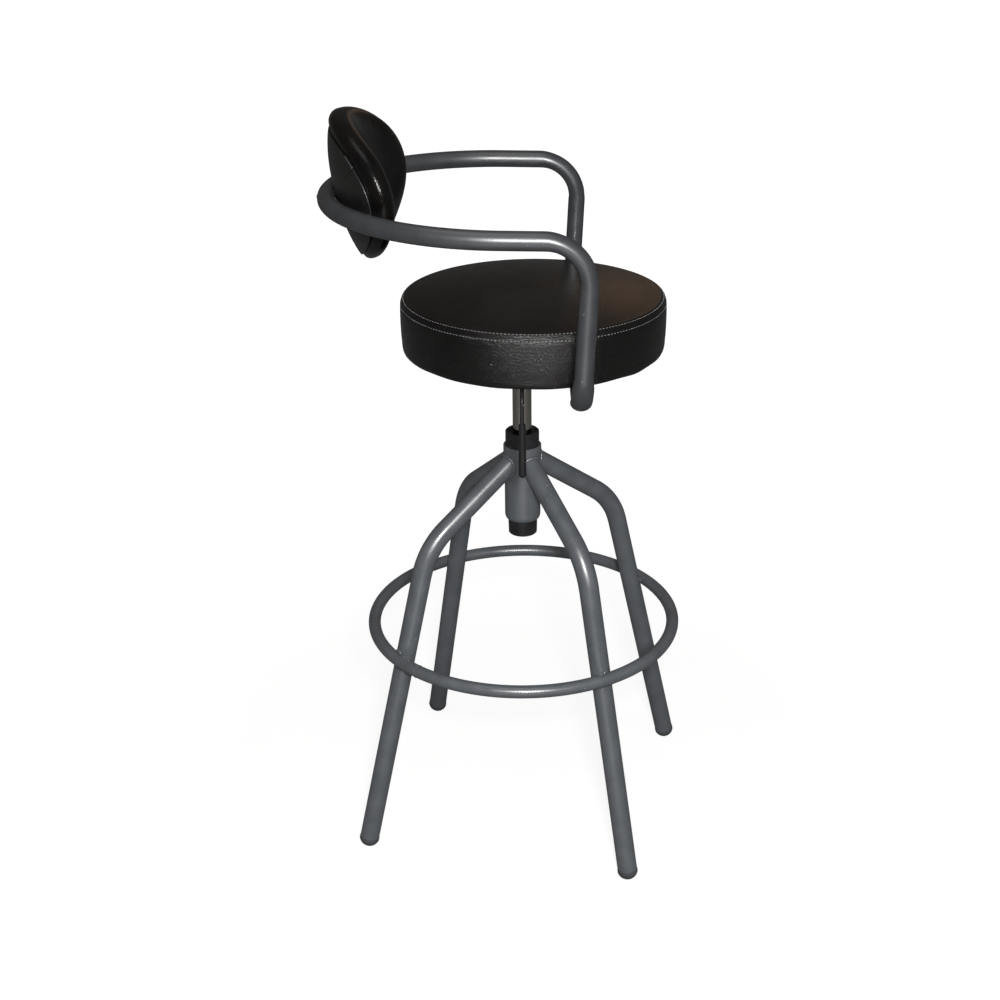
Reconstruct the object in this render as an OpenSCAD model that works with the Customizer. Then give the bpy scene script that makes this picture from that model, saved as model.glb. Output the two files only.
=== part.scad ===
// Bar stool with a wrap-around arm hoop, a swivelling gas lift and four bent tube legs.
// Sizes are in millimetres. The origin is on the floor under the column, +Z is up
// and the front of the seat faces -Y, so the sitter's right hand is on the -X side.

/* [Legs] */
// Outer diameter of a leg tube
leg_d = 29; // [26:0.5:32]
// Wall of a leg tube
leg_wall = 1.8; // [1.4:0.1:2.6]
// Radius on the floor that the leg centre lines run to
foot_r = 286; // [270:1:310]
// Lean of a lower leg from upright, in degrees
leg_splay = 14.3; // [13:0.1:16]
// Fall of the upper stretch of a leg from level, in degrees
leg_fall = 35.4; // [33:0.1:38]
// Height at which the upper stretches meet on the column's centre line
leg_root_z = 589.5; // [580:0.5:592]
// Radius of the bend between the two stretches, at the tube's centre line
leg_bend_r = 110; // [80:1:130]
// Turn of the leg cross against the seat, in degrees
base_turn = 32.5; // [20:0.5:60]

/* [Glides] */
// Diameter of the glide's lip
glide_lip_d = 30; // [29.5:0.5:34]
// Radius of the glide's domed sole
glide_dome_r = 15.5; // [15:0.5:20]
// Depth worn flat on the sole where it meets the floor
glide_flat = 0.6; // [0.4:0.1:1.2]
// Length of the glide's stem in the tube
glide_stem_h = 18; // [12:1:30]
// Gap between the glide's stem and the tube
glide_gap = 0.15; // [0.1:0.05:0.3]

/* [Foot ring] */
// Height of the foot ring's centre line
ring_z = 314.5; // [290:0.5:340]
// Outer diameter of the ring's tube
ring_d = 18.6; // [16:0.2:22]
// Wall of the ring's tube
ring_wall = 1.6; // [1.2:0.1:2.4]
// Depth to which the ring is notched round each leg
ring_notch = 1; // [0.6:0.1:2]

/* [Hub] */
// Height of the hub sleeve's lower edge
hub_z = 482; // [476:1:488]
// Height of the hub sleeve
hub_h = 119; // [112:1:122]
// Outer diameter of the hub's plain lower part
hub_d = 53.2; // [52:0.2:56]
// Outer diameter of the hub's flared mouth
hub_mouth_d = 56.3; // [56.2:0.1:60]
// Height of the flared mouth
hub_mouth_h = 16; // [8:1:24]
// Height of the rounded lower edge
hub_edge_h = 8; // [4:1:10]

/* [Column] */
// Outer diameter of the column's straight upper part
column_d = 50; // [49:0.2:50.4]
// Height of the column above the hub
column_rise = 22; // [16:1:32]
// Length of the column below the hub
column_drop = 24; // [20:1:30]
// Half angle of the column's tapered part, in degrees
column_taper = 1.58; // [1.4:0.01:1.7]
// Wall of the column
column_wall = 2.2; // [1.8:0.1:2.6]
// Thickness of the column's floor
column_floor_t = 3; // [2:0.5:5]
// Depth of the recess above the guide bush
bush_recess = 4; // [2:0.5:8]
// Length of the guide bush
bush_h = 74; // [60:1:76]

/* [Gas lift] */
// Diameter of the gas cylinder
cylinder_d = 28; // [27:0.2:30]
// Wall of the gas cylinder
cylinder_wall = 2.1; // [1.6:0.1:3]
// Length of the gas cylinder that stays in the column
cylinder_hold = 61; // [61:1:70]
// Diameter of the piston rod
rod_d = 10; // [8:0.5:11]
// Diameter of the balls of the thrust bearing
ball_d = 4; // [3:0.2:5]
// Number of balls
ball_count = 12; // [8:1:14]
// Diameter of the release pin
pin_d = 7.8; // [6:0.2:9]
// Height of the rubber bumper
bumper_h = 12; // [8:1:14]
// Running gap at the radius of every sliding or turning fit
run_gap = 0.05; // [0.02:0.01:0.08]

/* [Seat] */
// Height of the underside of the seat board
seat_z = 756; // [745:1:790]
// Radius of the seat
seat_r = 188.3; // [180:0.5:200]
// Distance of the seat's centre in front of the column
seat_fore = 17; // [8:0.5:24]
// Height from the board's underside to the seam round the top
seat_edge_h = 74; // [60:0.5:90]
// Rise of the cushion's crown above its edge
seat_crown = 11; // [4:0.5:18]
// Thickness of the seat board
board_t = 15; // [12:0.5:18]
// Thickness of the vinyl
vinyl_t = 1.2; // [0.8:0.1:2]
// Width of the vinyl turned in under the board
turn_in = 24; // [18:1:26]

/* [Seat plate] */
// Side of the pressed seat plate
plate_side = 152; // [150:1:158]
// Thickness of the seat plate's steel
plate_t = 2.5; // [2:0.1:3]
// Length of the plate's well, across the seat
well_l = 96; // [94:1:98]
// Width of the plate's well
well_w = 80; // [74:1:84]
// Depth of the well below the board
well_h = 25.5; // [25:0.5:28]
// Spacing of the bolts that hold the plate
plate_bolt_span = 126; // [122:1:130]
// Height of the tapered socket
socket_h = 32; // [28:1:34]
// Outer diameter of the tapered socket
socket_d = 38; // [35:0.5:42]
// Diameter of the bolts
bolt_d = 6; // [5:0.5:6.5]

/* [Lever] */
// Diameter of the lever's rod
lever_d = 6.4; // [5:0.2:6.8]
// Distance of the lever's pivot from the column's centre line
lever_pivot = 32; // [28:1:34]
// Reach of the lever from the column to its bend
lever_reach = 156; // [150:1:168]
// Droop of the lever's rod, in degrees
lever_droop = 2.5; // [2:0.1:4]
// Lean of the hanging part of the lever from upright, in degrees
lever_lean = 6; // [0:1:14]
// Length of the hanging part from the bend to its tip
lever_drop = 104; // [98:1:114]
// Length of the lever's grip
grip_h = 76; // [60:1:90]
// Diameter of the grip at its lower end
grip_d = 11.2; // [10.6:0.2:14]

/* [Arm hoop] */
// Outer diameter of the hoop's tube
hoop_d = 25.4; // [24:0.2:27]
// Wall of the hoop's tube
hoop_wall = 2; // [1.5:0.1:2.6]
// Half of the width between the arms, at the centre lines
hoop_half = 242.5; // [236:0.5:252]
// Height of the front corner of the arms
arm_z = 969; // [940:0.5:990]
// Rise of the arms to the back, in degrees
arm_rise = 1.1; // [0:0.1:3]
// Lean of the posts to the front, in degrees
post_lean = 2.9; // [0:0.1:5]
// Distance of the posts' lower ends in front of the column
post_fore = 77.7; // [74:0.1:86]
// Distance of the rear arc's centre behind the column
arc_back = 25; // [18:0.5:40]
// Radius of the bends at the front of the arms
arm_bend_r = 58; // [50:1:70]
// Radius of the bends under the seat
run_bend_r = 50; // [42:1:56]
// Distance of the open ends of the hoop from the middle
run_in = 84; // [82:1:88]
// Thickness of the arm brackets
bracket_t = 4; // [3:0.5:5]
// Length of an arm bracket across the seat
bracket_l = 58; // [56:1:60]
// Width of an arm bracket from front to back
bracket_w = 60; // [58:1:64]

/* [Backrest] */
// Half of the pad's length, measured round its curve
pad_half = 151; // [140:1:170]
// Half of the pad's height
pad_rise = 103; // [92:1:116]
// Height of the pad's middle above the hoop
pad_up = 6; // [0:1:20]
// Recline of the backrest, in degrees
recline = 12; // [8:0.5:15]
// Distance of the pad's rim in front of the hoop's centre line
rim_in = 42; // [40:0.5:48]
// Depth of the pad's roll in front of its rim
pad_front = 22; // [18:0.5:26]
// Depth of the pad behind its rim
pad_rear = 12.5; // [9:0.5:14]
// Swell of the pad's front panel at its middle
pad_crown = 4; // [1:0.5:8]
// Share of the pad's outline where a crease parts the front panel from the roll
pad_panel = 0.755; // [0.72:0.005:0.8]
// Thickness of the back board
back_board_t = 9; // [6:0.5:12]
// Inset of the back shell from the pad's outline, at its sides
shell_inset = 20; // [18:1:24]
// Inset of the back shell from the pad's outline, at its top and its foot
shell_inset_z = 9; // [9:1:16]
// Bulge of the back shell
shell_bulge = 15; // [10:0.5:16]
// Drop of the back shell below the pad's centre
shell_drop = 6; // [0:1:8]
// Wall of the back shell
shell_wall = 2.4; // [2:0.1:3]
// Spacing of the two back screws
back_span = 34; // [30:1:44]

/* [Hidden] */
$fn = 96;

charcoal = "#4b5055";
black_vinyl = "#191716";
black_plastic = "#26252a";
bright_steel = "#a9abab";

// Reach of a cut past the face it opens
over = 1;

// Play between the cover, the foam and the board of the backrest
cushion_gap = 0.6;

// Growth of a tube's radius where it is bent, and the lap of its straight stretches into a bend
bend_swell = 0.12;
lap = 1;

// Legs: the point where the two stretches meet, and the tangent length of the bend
leg_turn = 90 - leg_splay - leg_fall;
knee_r = (foot_r / tan(leg_splay) - leg_root_z) / (1 / tan(leg_splay) - tan(leg_fall));
knee_z = leg_root_z - knee_r * tan(leg_fall);
leg_tangent = leg_bend_r * tan(leg_turn / 2);
leg_start_r = hub_d / 2 - leg_d / 2;
glide_rise = (glide_dome_r - glide_flat) / cos(leg_splay);
glide_stem_r = leg_d / 2 - leg_wall - glide_gap;
glide_stem_wall = 2;
glide_floor_t = 4;
leg_lower_l = (knee_z / cos(leg_splay)) - leg_tangent - glide_rise;
leg_upper_l = (knee_r - leg_start_r) / cos(leg_fall) - leg_tangent;

ring_leg_r = foot_r - ring_z * tan(leg_splay);
ring_r = ring_leg_r + (leg_d + ring_d) / 2 / cos(leg_splay) - ring_notch;

// Hub, with a short relief above the taper that grips the column
hub_edge_r = 4.4;
hub_flare_h = 26;
hub_lip = 0.8;
hub_relief = 0.6;
hub_relief_h = 4;
hub_top = hub_z + hub_h;
taper_top = hub_top - hub_relief_h;

// Column and what stands in it
column_top = hub_top + column_rise;
column_foot = hub_z - column_drop;
function column_r(z) = column_d / 2 - max(0, taper_top - z) * tan(column_taper);
bush_top = column_top - bush_recess;
bush_foot = bush_top - bush_h;
bush_shoulder = 0.3;
bush_r = column_d / 2 - column_wall - bush_shoulder;
bush_relief = 0.8;
bush_lead = 1.2;
column_edge = 1.2;
column_lip = 1.5;
column_step = 0.8;
groove_z = column_top - 10;
groove_w = 1;
groove_d = 0.5;
floor_top = column_foot + column_floor_t;
rod_hole_r = rod_d / 2 + 0.3;
race_t = 1.5;
cage_t = 1.4;
ball_play = 0.02;
race_r = 11;
ball_pitch_r = 8.2;
ball_z = floor_top + race_t + ball_d / 2;
upper_race_z = floor_top + race_t + ball_d;
shoulder_z = upper_race_z + race_t;
shoulder_h = 3;
shoulder_r = 8.5;
bumper_r = 12;
bumper_draw = 1.5;

// The rod's foot below the column: a washer, and a clip in its groove
rod_tail = 6;
foot_washer_t = 1.6;
foot_washer_r = 8.5;
foot_washer_z = column_foot - 0.2 - foot_washer_t;
clip_t = 1;
clip_play = 0.2;
clip_depth = 0.8;
clip_w = 2.5;
clip_z = foot_washer_z - 2 * clip_play - clip_t;

// Gas cylinder, from its lower end to its tapered nose
cylinder_foot = column_top - cylinder_hold;
cylinder_r = cylinder_d / 2;
cylinder_bore_r = cylinder_r - cylinder_wall;
end_lip_t = 1.3;
end_lip_w = 1.5;
seal_h = 15;
seal_z = cylinder_foot + end_lip_t;
head_z = seal_z + seal_h + 1.5;
head_h = 12;
head_groove_z = 4;
head_groove_h = 3;
head_groove_d = 1.4;
rod_past_head = 3;
lift_stroke = 75;
gas_room = 12;
cylinder_roof = head_z + head_h + lift_stroke + gas_room;
well_floor_z = seat_z - well_h + plate_t;
socket_stand = 2;
socket_top = well_floor_z + socket_stand;
socket_foot = socket_top - socket_h;
nose_taper = 1.43;
nose_top = socket_top + socket_stand;
function nose_r(z) = cylinder_r - max(0, z - socket_foot) * tan(nose_taper);

// Lever: its rod lies just above the release pin
lever_under = 11.4;
lever_z = seat_z - lever_under;
pin_play = 0.12;
pin_top = lever_z - lever_d / 2 - pin_play;
pin_dome = 1.4;
pin_sink = 20;
pin_foot = nose_top - pin_sink;
pin_room = 4;
lever_tail_l = lever_pivot + 4;
boss_w = 12;
boss_r = 6;
lever_pin_d = 4;
lever_pin_past = 1.5;
ear_t = 2.5;
ear_w = 9;
ear_gap = 0.5;
ear_y = boss_w / 2 + ear_gap;
bracket_foot_l = 11;
bracket_foot_t = 2;
lever_bend_r = 14;
grip_end_t = 8;
grip_collar = 1.6;
lever_x = lever_pivot + (lever_reach - lever_pivot) / cos(lever_droop);

// Seat plate: its turned-down edge, its corners and the slot for the lever
plate_rim_h = 7;
plate_corner_r = 16;
well_corner_r = 14;
slot_play = 1;
slot_drop = 4.2;
slot_rise = 1.8;

// Seat board and the cover round it
side_foam_t = 1.8;
board_r = seat_r - vinyl_t - side_foam_t;
board_edge = 4;
lower_roll = 4.5;

// Bolts, and the overhang of the arm brackets past the hoop's open ends
run_past = 2;
bolt_hole_r = bolt_d / 2 + 0.3;
washer_t = 1.2;
washer_r = bolt_d + 0.2;
head_t = bolt_d * 0.66;
nut_barrel_r = bolt_d / 2 + 1.2;
nut_barrel_l = 10;
bolt_short = 2;
nut_flange_r = bolt_d * 1.7;
nut_flange_t = 1.5;
plate_bolt_at = plate_bolt_span / 2;
bracket_bolt_in = 12;
bracket_bolt_x = [run_in - run_past + bracket_bolt_in, run_in - run_past + bracket_l - bracket_bolt_in];
bracket_bolt_y = 21;

// Arm hoop: its corners, from the run under the seat up to the rear arc
hoop_r = hoop_d / 2;
weld_seat = 0.6;
plug_t = 2;
plug_l = 12;
run_z = seat_z - bracket_t - hoop_r + weld_seat;
post_l = (arm_z - run_z) / cos(post_lean);
arm_turn = 90 + post_lean - arm_rise;
arm_tangent = arm_bend_r * tan(arm_turn / 2);
arm_fore = post_fore + post_l * sin(post_lean);
arm_l = (arc_back + arm_fore) / cos(arm_rise);
arc_z = arm_z + arm_l * sin(arm_rise);
apex_y = arc_back + hoop_half * cos(arm_rise);
apex_z = arc_z + hoop_half * sin(arm_rise);
bracket_x = run_in - run_past;

// Backrest: radii from the axis that the pad curves round
rim_r = hoop_half - rim_in;
pad_back_r = rim_r + pad_rear;
board_back_r = pad_back_r - vinyl_t - cushion_gap;
board_front_r = board_back_r - back_board_t;
arc_dip = hoop_half - sqrt(pow(hoop_half, 2) - pow(back_span / 2, 2));
shell_edge_r = pad_back_r + 0.3;
shell_top_r = shell_edge_r + shell_bulge;
spacer_r = 7.5;
spacer_saddle = 4;
back_hole_r = bolt_hole_r;
nut_sink = 1;
oval_steps = 40;
panel_dip = 2;
panel_r = rim_r - pad_front + panel_dip;
front_roll = 0.165;
rear_roll = 0.11;
crease_turn = acos(1 - (1 - pad_panel) / front_roll);
foam_skin = vinyl_t + cushion_gap;
foam_back_r = board_front_r - 0.3;
foam_in = foam_skin + 3.5;
flap_in = 30;
board_inset = 18;
board_half = (pad_half - board_inset) / rim_r * 180 / PI;
shell_lip = 3;
shell_fall = 2.5;

function flip(list) = [for (i = [len(list) - 1 : -1 : 0]) list[i]];

// Points on an arc about a centre, with separate radii across and up
function arc(cx, cy, rx, ry, a0, a1, n) =
    [for (i = [0 : n]) let (a = a0 + (a1 - a0) * i / n) [cx + rx * cos(a), cy + ry * sin(a)]];

// A round bar from a point in the XZ plane, running past each of its ends
module bar(at, lean, r, l, before, past)
    translate([at[0], 0, at[1]])
        rotate([0, lean, 0])
            translate([0, 0, -before])
                cylinder(r = r, h = l + before + past);

// The bent stretch of a tube in the XY plane, a little fuller than the straight ones
module bend_arc(bend_r, r, from, sweep)
    rotate([0, 0, from])
        rotate_extrude(angle = sweep)
            translate([bend_r, 0])
                circle(r + bend_swell, $fn = 48);

// The same, in the XZ plane about a point
module bend(at, bend_r, r, from, sweep)
    translate([at[0], 0, at[1]])
        rotate([90, 0, 0])
            bend_arc(bend_r, r, from, sweep);

// Rounded rectangle, centred
module rounded(l, w, r) {
    square([l - 2 * r, w], center = true);
    square([l, w - 2 * r], center = true);
    for (x = [-1, 1], y = [-1, 1])
        translate([x * (l / 2 - r), y * (w / 2 - r)])
            circle(r);
}

module ring(r_out, r_in, z, h)
    translate([0, 0, z])
        difference() {
            cylinder(r = r_out, h = h);
            translate([0, 0, -over])
                cylinder(r = r_in, h = h + 2 * over);
        }

// Hub sleeve
module hub_form() {
    rotate_extrude()
        polygon(concat(
            [[0, hub_z]],
            arc(hub_d / 2 - hub_edge_r, hub_z + hub_edge_h, hub_edge_r, hub_edge_h, -90, 0, 6),
            [[hub_d / 2, hub_top - hub_mouth_h - hub_flare_h], [hub_mouth_d / 2, hub_top - hub_mouth_h]],
            [[hub_mouth_d / 2, hub_top - hub_lip], [hub_mouth_d / 2 - hub_lip, hub_top], [0, hub_top]]
        ));
}

module hub_sleeve() color(charcoal) {
    difference() {
        hub_form();
        translate([0, 0, hub_z - over])
            cylinder(r1 = column_r(hub_z - over), r2 = column_r(taper_top), h = taper_top - hub_z + over);
        translate([0, 0, taper_top])
            cylinder(r = column_d / 2 + hub_relief, h = hub_h);
    }
}

// Bent leg tubes
module leg_lower(r, past)
    bar([
        knee_r + leg_tangent * sin(leg_splay),
        knee_z - leg_tangent * cos(leg_splay)
    ], 180 - leg_splay, r, leg_lower_l, lap, past);

module leg_path(r, past) {
    bar([leg_start_r, leg_root_z - leg_start_r * tan(leg_fall)], 90 + leg_fall, r, leg_upper_l, past, lap);
    bend([
        knee_r - leg_tangent * cos(leg_fall) - leg_bend_r * sin(leg_fall),
        knee_z + leg_tangent * sin(leg_fall) - leg_bend_r * cos(leg_fall)
    ], leg_bend_r, r, leg_splay, leg_turn);
    leg_lower(r, past);
}

module leg(i) color(charcoal)
    difference() {
        rotate([0, 0, base_turn + 90 * i])
            difference() {
                leg_path(leg_d / 2, 0);
                leg_path(leg_d / 2 - leg_wall, over);
            }
        hub_form();
    }

// Glides with a domed sole, plugged into the feet
module glide(i) color(black_plastic)
    rotate([0, 0, base_turn + 90 * i])
        difference() {
            translate([foot_r, 0, 0])
                rotate([0, -leg_splay, 0])
                    translate([0, 0, glide_rise]) {
                        intersection() {
                            sphere(r = glide_dome_r);
                            translate([0, 0, -glide_dome_r - over])
                                cylinder(r = glide_lip_d / 2, h = glide_dome_r + over);
                        }
                        difference() {
                            cylinder(r = glide_stem_r, h = glide_stem_h);
                            translate([0, 0, glide_floor_t])
                                cylinder(r = glide_stem_r - glide_stem_wall, h = glide_stem_h);
                        }
                    }
            translate([0, 0, -glide_dome_r])
                linear_extrude(glide_dome_r)
                    square(2 * foot_r + 4 * glide_dome_r, center = true);
        }

// Foot ring, notched round the outside of the legs
module foot_ring() color(charcoal)
    difference() {
        translate([0, 0, ring_z])
            rotate_extrude($fn = 144)
                translate([ring_r, 0])
                    difference() {
                        circle(ring_d / 2, $fn = 48);
                        circle(ring_d / 2 - ring_wall, $fn = 48);
                    }
        for (i = [0 : 3])
            rotate([0, 0, base_turn + 90 * i])
                leg_lower(leg_d / 2, 0);
    }

// Outer tube of the gas lift, tapered where the hub grips it
module column_tube() color(black_plastic)
    difference() {
        rotate_extrude()
            polygon([
                [0, column_foot],
                [column_r(column_foot) - column_edge, column_foot],
                [column_r(column_foot + column_edge), column_foot + column_edge],
                [column_r(taper_top), taper_top],
                [column_d / 2, groove_z - groove_w / 2 - groove_d],
                [column_d / 2 - groove_d, groove_z - groove_w / 2],
                [column_d / 2 - groove_d, groove_z + groove_w / 2],
                [column_d / 2, groove_z + groove_w / 2 + groove_d],
                [column_d / 2, column_top - column_lip],
                [column_d / 2 - column_lip, column_top],
                [0, column_top]
            ]);
        translate([0, 0, bush_foot])
            cylinder(r = bush_r + run_gap, h = column_top);
        translate([0, 0, floor_top])
            cylinder(
                r1 = column_r(floor_top) - column_wall,
                r2 = column_r(bush_foot) - column_wall - column_step,
                h = bush_foot - floor_top + 0.01
            );
        translate([0, 0, column_foot - over])
            cylinder(r = rod_hole_r, h = column_floor_t + 2 * over);
    }

// Plastic bush that guides the gas cylinder
module guide_bush() color("#1d1d20")
    difference() {
        translate([0, 0, bush_foot])
            cylinder(r = bush_r, h = bush_h);
        translate([0, 0, bush_foot - over])
            cylinder(r = cylinder_r + run_gap, h = bush_h + 2 * over);
        translate([0, 0, bush_foot + bush_h * 0.3])
            cylinder(r = cylinder_r + bush_relief, h = bush_h * 0.3);
        translate([0, 0, bush_top - bush_lead])
            cylinder(r1 = cylinder_r, r2 = cylinder_r + 2 * bush_lead, h = bush_lead + 0.1);
    }

// Thrust bearing on the column's floor
module bearing_race_lower() color(bright_steel)
    ring(race_r, rod_hole_r, floor_top, race_t);

module bearing_balls() color(bright_steel)
    for (i = [0 : ball_count - 1])
        rotate([0, 0, 360 * i / ball_count])
            translate([ball_pitch_r, 0, ball_z])
                sphere(r = ball_d / 2 - ball_play, $fn = 32);

module bearing_cage() color(black_plastic)
    difference() {
        ring(race_r - 0.3, rod_hole_r + 0.2, ball_z - cage_t / 2, cage_t);
        for (i = [0 : ball_count - 1])
            rotate([0, 0, 360 * i / ball_count])
                translate([ball_pitch_r, 0, ball_z - cage_t])
                    cylinder(r = ball_d / 2 + run_gap, h = 2 * cage_t, $fn = 32);
    }

module bearing_race_upper() color(bright_steel)
    ring(race_r, rod_d / 2 + run_gap, upper_race_z, race_t);

// Rubber bumper that stops the cylinder at its lowest height
module rubber_bumper() color(black_plastic)
    difference() {
        translate([0, 0, shoulder_z + shoulder_h])
            cylinder(r1 = bumper_r, r2 = bumper_r - bumper_draw, h = bumper_h);
        translate([0, 0, shoulder_z])
            cylinder(r = rod_d / 2 + run_gap, h = shoulder_h + bumper_h + over);
    }

// Piston rod, with its shoulder on the bearing and its foot through the floor
module piston_rod() color(bright_steel)
    difference() {
        union() {
            translate([0, 0, column_foot - rod_tail])
                cylinder(r = rod_d / 2, h = rod_tail + head_z + head_h + rod_past_head - column_foot);
            translate([0, 0, shoulder_z])
                cylinder(r = shoulder_r, h = shoulder_h);
        }
        ring(rod_d, rod_d / 2 - clip_depth - 0.1, clip_z - clip_play, clip_t + 2 * clip_play);
    }

module piston_head() color(bright_steel)
    difference() {
        rotate_extrude()
            polygon([
                [0, head_z],
                [cylinder_bore_r - run_gap, head_z],
                [cylinder_bore_r - run_gap, head_z + head_groove_z],
                [cylinder_bore_r - head_groove_d, head_z + head_groove_z],
                [cylinder_bore_r - head_groove_d, head_z + head_groove_z + head_groove_h],
                [cylinder_bore_r - run_gap, head_z + head_groove_z + head_groove_h],
                [cylinder_bore_r - run_gap, head_z + head_h],
                [0, head_z + head_h]
            ]);
        translate([0, 0, head_z - over])
            cylinder(r = rod_d / 2, h = head_h + 2 * over);
    }

module rod_washer() color(bright_steel)
    ring(foot_washer_r, rod_d / 2 + 0.1, foot_washer_z, foot_washer_t);

module rod_clip() color(bright_steel)
    difference() {
        ring(rod_d / 2 + clip_w, rod_d / 2 - clip_depth, clip_z, clip_t);
        translate([0, -rod_d / 2 + 2 * clip_depth, clip_z - over])
            cube([2 * rod_d, rod_d - 4 * clip_depth, clip_t + 2 * over]);
    }

// Gas cylinder with its tapered nose
module gas_cylinder() color(bright_steel)
    difference() {
        union() {
            translate([0, 0, cylinder_foot])
                cylinder(r = cylinder_r, h = socket_foot - cylinder_foot);
            translate([0, 0, socket_foot])
                cylinder(r1 = cylinder_r, r2 = nose_r(nose_top), h = nose_top - socket_foot);
        }
        translate([0, 0, seal_z])
            cylinder(r = cylinder_bore_r, h = cylinder_roof - seal_z);
        translate([0, 0, cylinder_foot - over])
            cylinder(r = cylinder_bore_r - end_lip_w, h = end_lip_t + 2 * over);
        translate([0, 0, pin_foot - pin_room])
            cylinder(r = pin_d / 2 + run_gap, h = nose_top - pin_foot + pin_room + over);
    }

module rod_seal() color(black_plastic)
    ring(cylinder_bore_r - run_gap, rod_d / 2 + run_gap, seal_z + 0.02, seal_h);

module release_pin() color(bright_steel)
    rotate_extrude()
        polygon(concat(
            [[0, pin_foot], [pin_d / 2, pin_foot]],
            arc(0, pin_top - pin_dome, pin_d / 2, pin_dome, 0, 90, 5)
        ));

// Pressed seat plate: flange with a turned-down edge, and the well for the lever
module seat_plate() color("#2b2c2e")
    difference() {
        union() {
            translate([0, 0, seat_z - plate_t])
                linear_extrude(plate_t)
                    rounded(plate_side, plate_side, plate_corner_r);
            translate([0, 0, seat_z - plate_rim_h])
                linear_extrude(plate_rim_h)
                    difference() {
                        rounded(plate_side, plate_side, plate_corner_r);
                        rounded(
                            plate_side - 2 * plate_t, plate_side - 2 * plate_t, plate_corner_r - plate_t
                        );
                    }
            translate([0, 0, seat_z - well_h])
                linear_extrude(well_h)
                    rounded(well_l, well_w, well_corner_r);
        }
        translate([0, 0, well_floor_z])
            linear_extrude(well_h)
                rounded(well_l - 2 * plate_t, well_w - 2 * plate_t, well_corner_r - plate_t);
        translate([0, 0, seat_z - well_h - over])
            cylinder(r = socket_d / 2, h = well_h);
        at_plate_bolts()
            translate([0, 0, seat_z - plate_t - over])
                cylinder(r = bolt_hole_r, h = plate_t + 2 * over);
        // slot for the lever, deep enough for its droop and its travel
        translate([-well_l / 2 - 2 * plate_t, -lever_d / 2 - slot_play, lever_z - lever_d / 2 - slot_drop])
            cube([4 * plate_t, lever_d + 2 * slot_play, lever_d + slot_drop + slot_rise]);
    }

module taper_socket() color("#2b2c2e")
    difference() {
        translate([0, 0, socket_foot])
            cylinder(r = socket_d / 2, h = socket_h);
        translate([0, 0, socket_foot - over])
            cylinder(r = cylinder_r + 0.01, h = over + 0.01);
        translate([0, 0, socket_foot])
            cylinder(r1 = cylinder_r, r2 = nose_r(socket_top), h = socket_h);
        translate([0, 0, socket_top - 0.5])
            cylinder(r = nose_r(socket_top) + 0.3, h = 1);
    }

// Welded bracket with two ears for the lever's pin
module lever_bracket() color(bright_steel)
    difference() {
        union() {
            translate([-lever_pivot - boss_r - bracket_foot_t, -ear_y - ear_t, well_floor_z])
                cube([bracket_foot_l, 2 * ear_y + 2 * ear_t, bracket_foot_t]);
            for (y = [-ear_y - ear_t, ear_y]) {
                translate([-lever_pivot - boss_r, y, well_floor_z])
                    cube([ear_w, ear_t, lever_z - well_floor_z]);
                translate([-lever_pivot, y, lever_z])
                    rotate([-90, 0, 0])
                        cylinder(r = boss_r, h = ear_t);
            }
        }
        translate([0, 0, well_floor_z - over])
            cylinder(r = socket_d / 2 + 0.5, h = well_h);
        translate([-lever_pivot, -boss_w, lever_z])
            rotate([-90, 0, 0])
                cylinder(r = lever_pin_d / 2, h = 2 * boss_w);
    }

module lever_pin() color(bright_steel)
    translate([-lever_pivot, -ear_y - ear_t - lever_pin_past, lever_z])
        rotate([-90, 0, 0])
            cylinder(r = lever_pin_d / 2, h = 2 * (ear_y + ear_t + lever_pin_past));

// Height lever: it presses on the release pin, droops to the edge and hangs down
module lever_rod() color(black_plastic)
    difference() {
        translate([-lever_pivot, 0, lever_z])
            mirror([1, 0, 0]) {
                rotate([0, -90, 0])
                    rotate_extrude()
                        polygon(concat(
                            [[0, 0], [lever_d / 2, 0]],
                            arc(0, lever_tail_l - lever_d / 2, lever_d / 2, lever_d / 2, 0, 90, 6)
                        ));
                translate([0, boss_w / 2, 0])
                    rotate([90, 0, 0])
                        cylinder(r = boss_r, h = boss_w);
                rotate([0, lever_droop, 0]) {
                    rotate([0, 90, 0])
                        cylinder(r = lever_d / 2, h = lever_x - lever_pivot + lap);
                    bend([lever_x - lever_pivot, -lever_bend_r], lever_bend_r, lever_d / 2,
                        lever_droop + lever_lean, 90 - lever_droop - lever_lean);
                }
                lever_end()
                    translate([0, 0, -lap])
                        cylinder(r = lever_d / 2, h = lever_drop - grip_end_t + lap);
            }
        translate([-lever_pivot, -boss_w, lever_z])
            rotate([-90, 0, 0])
                cylinder(r = lever_pin_d / 2 + run_gap, h = 2 * boss_w);
    }

// Places its child at the end of the lever's bend, pointing down the hanging part
module lever_end()
    rotate([0, lever_droop, 0])
        translate([lever_x - lever_pivot, 0, -lever_bend_r])
            rotate([0, -lever_droop - lever_lean, 0])
                translate([lever_bend_r, 0, 0])
                    rotate([180, 0, 0])
                        children();

module lever_grip() color(black_plastic)
    translate([-lever_pivot, 0, lever_z])
        mirror([1, 0, 0])
            lever_end()
                difference() {
                    translate([0, 0, lever_drop - grip_h])
                        rotate_extrude()
                            polygon(concat(
                                [[0, 0], [grip_d / 2 - grip_collar, 0], [grip_d / 2 - grip_collar / 2, 1.2]],
                                [[grip_d / 2, grip_h - grip_d / 2]],
                                arc(0, grip_h - grip_d / 2, grip_d / 2, grip_d / 2, 15, 90, 5)
                            ));
                    translate([0, 0, -over])
                        cylinder(r = lever_d / 2, h = lever_drop - grip_end_t + over);
                }

// Places of the bolts: four in the seat plate and four in each arm bracket
module at_plate_bolts()
    for (x = [-1, 1], y = [-1, 1])
        translate([x * plate_bolt_at, y * plate_bolt_at, 0])
            children();

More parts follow.
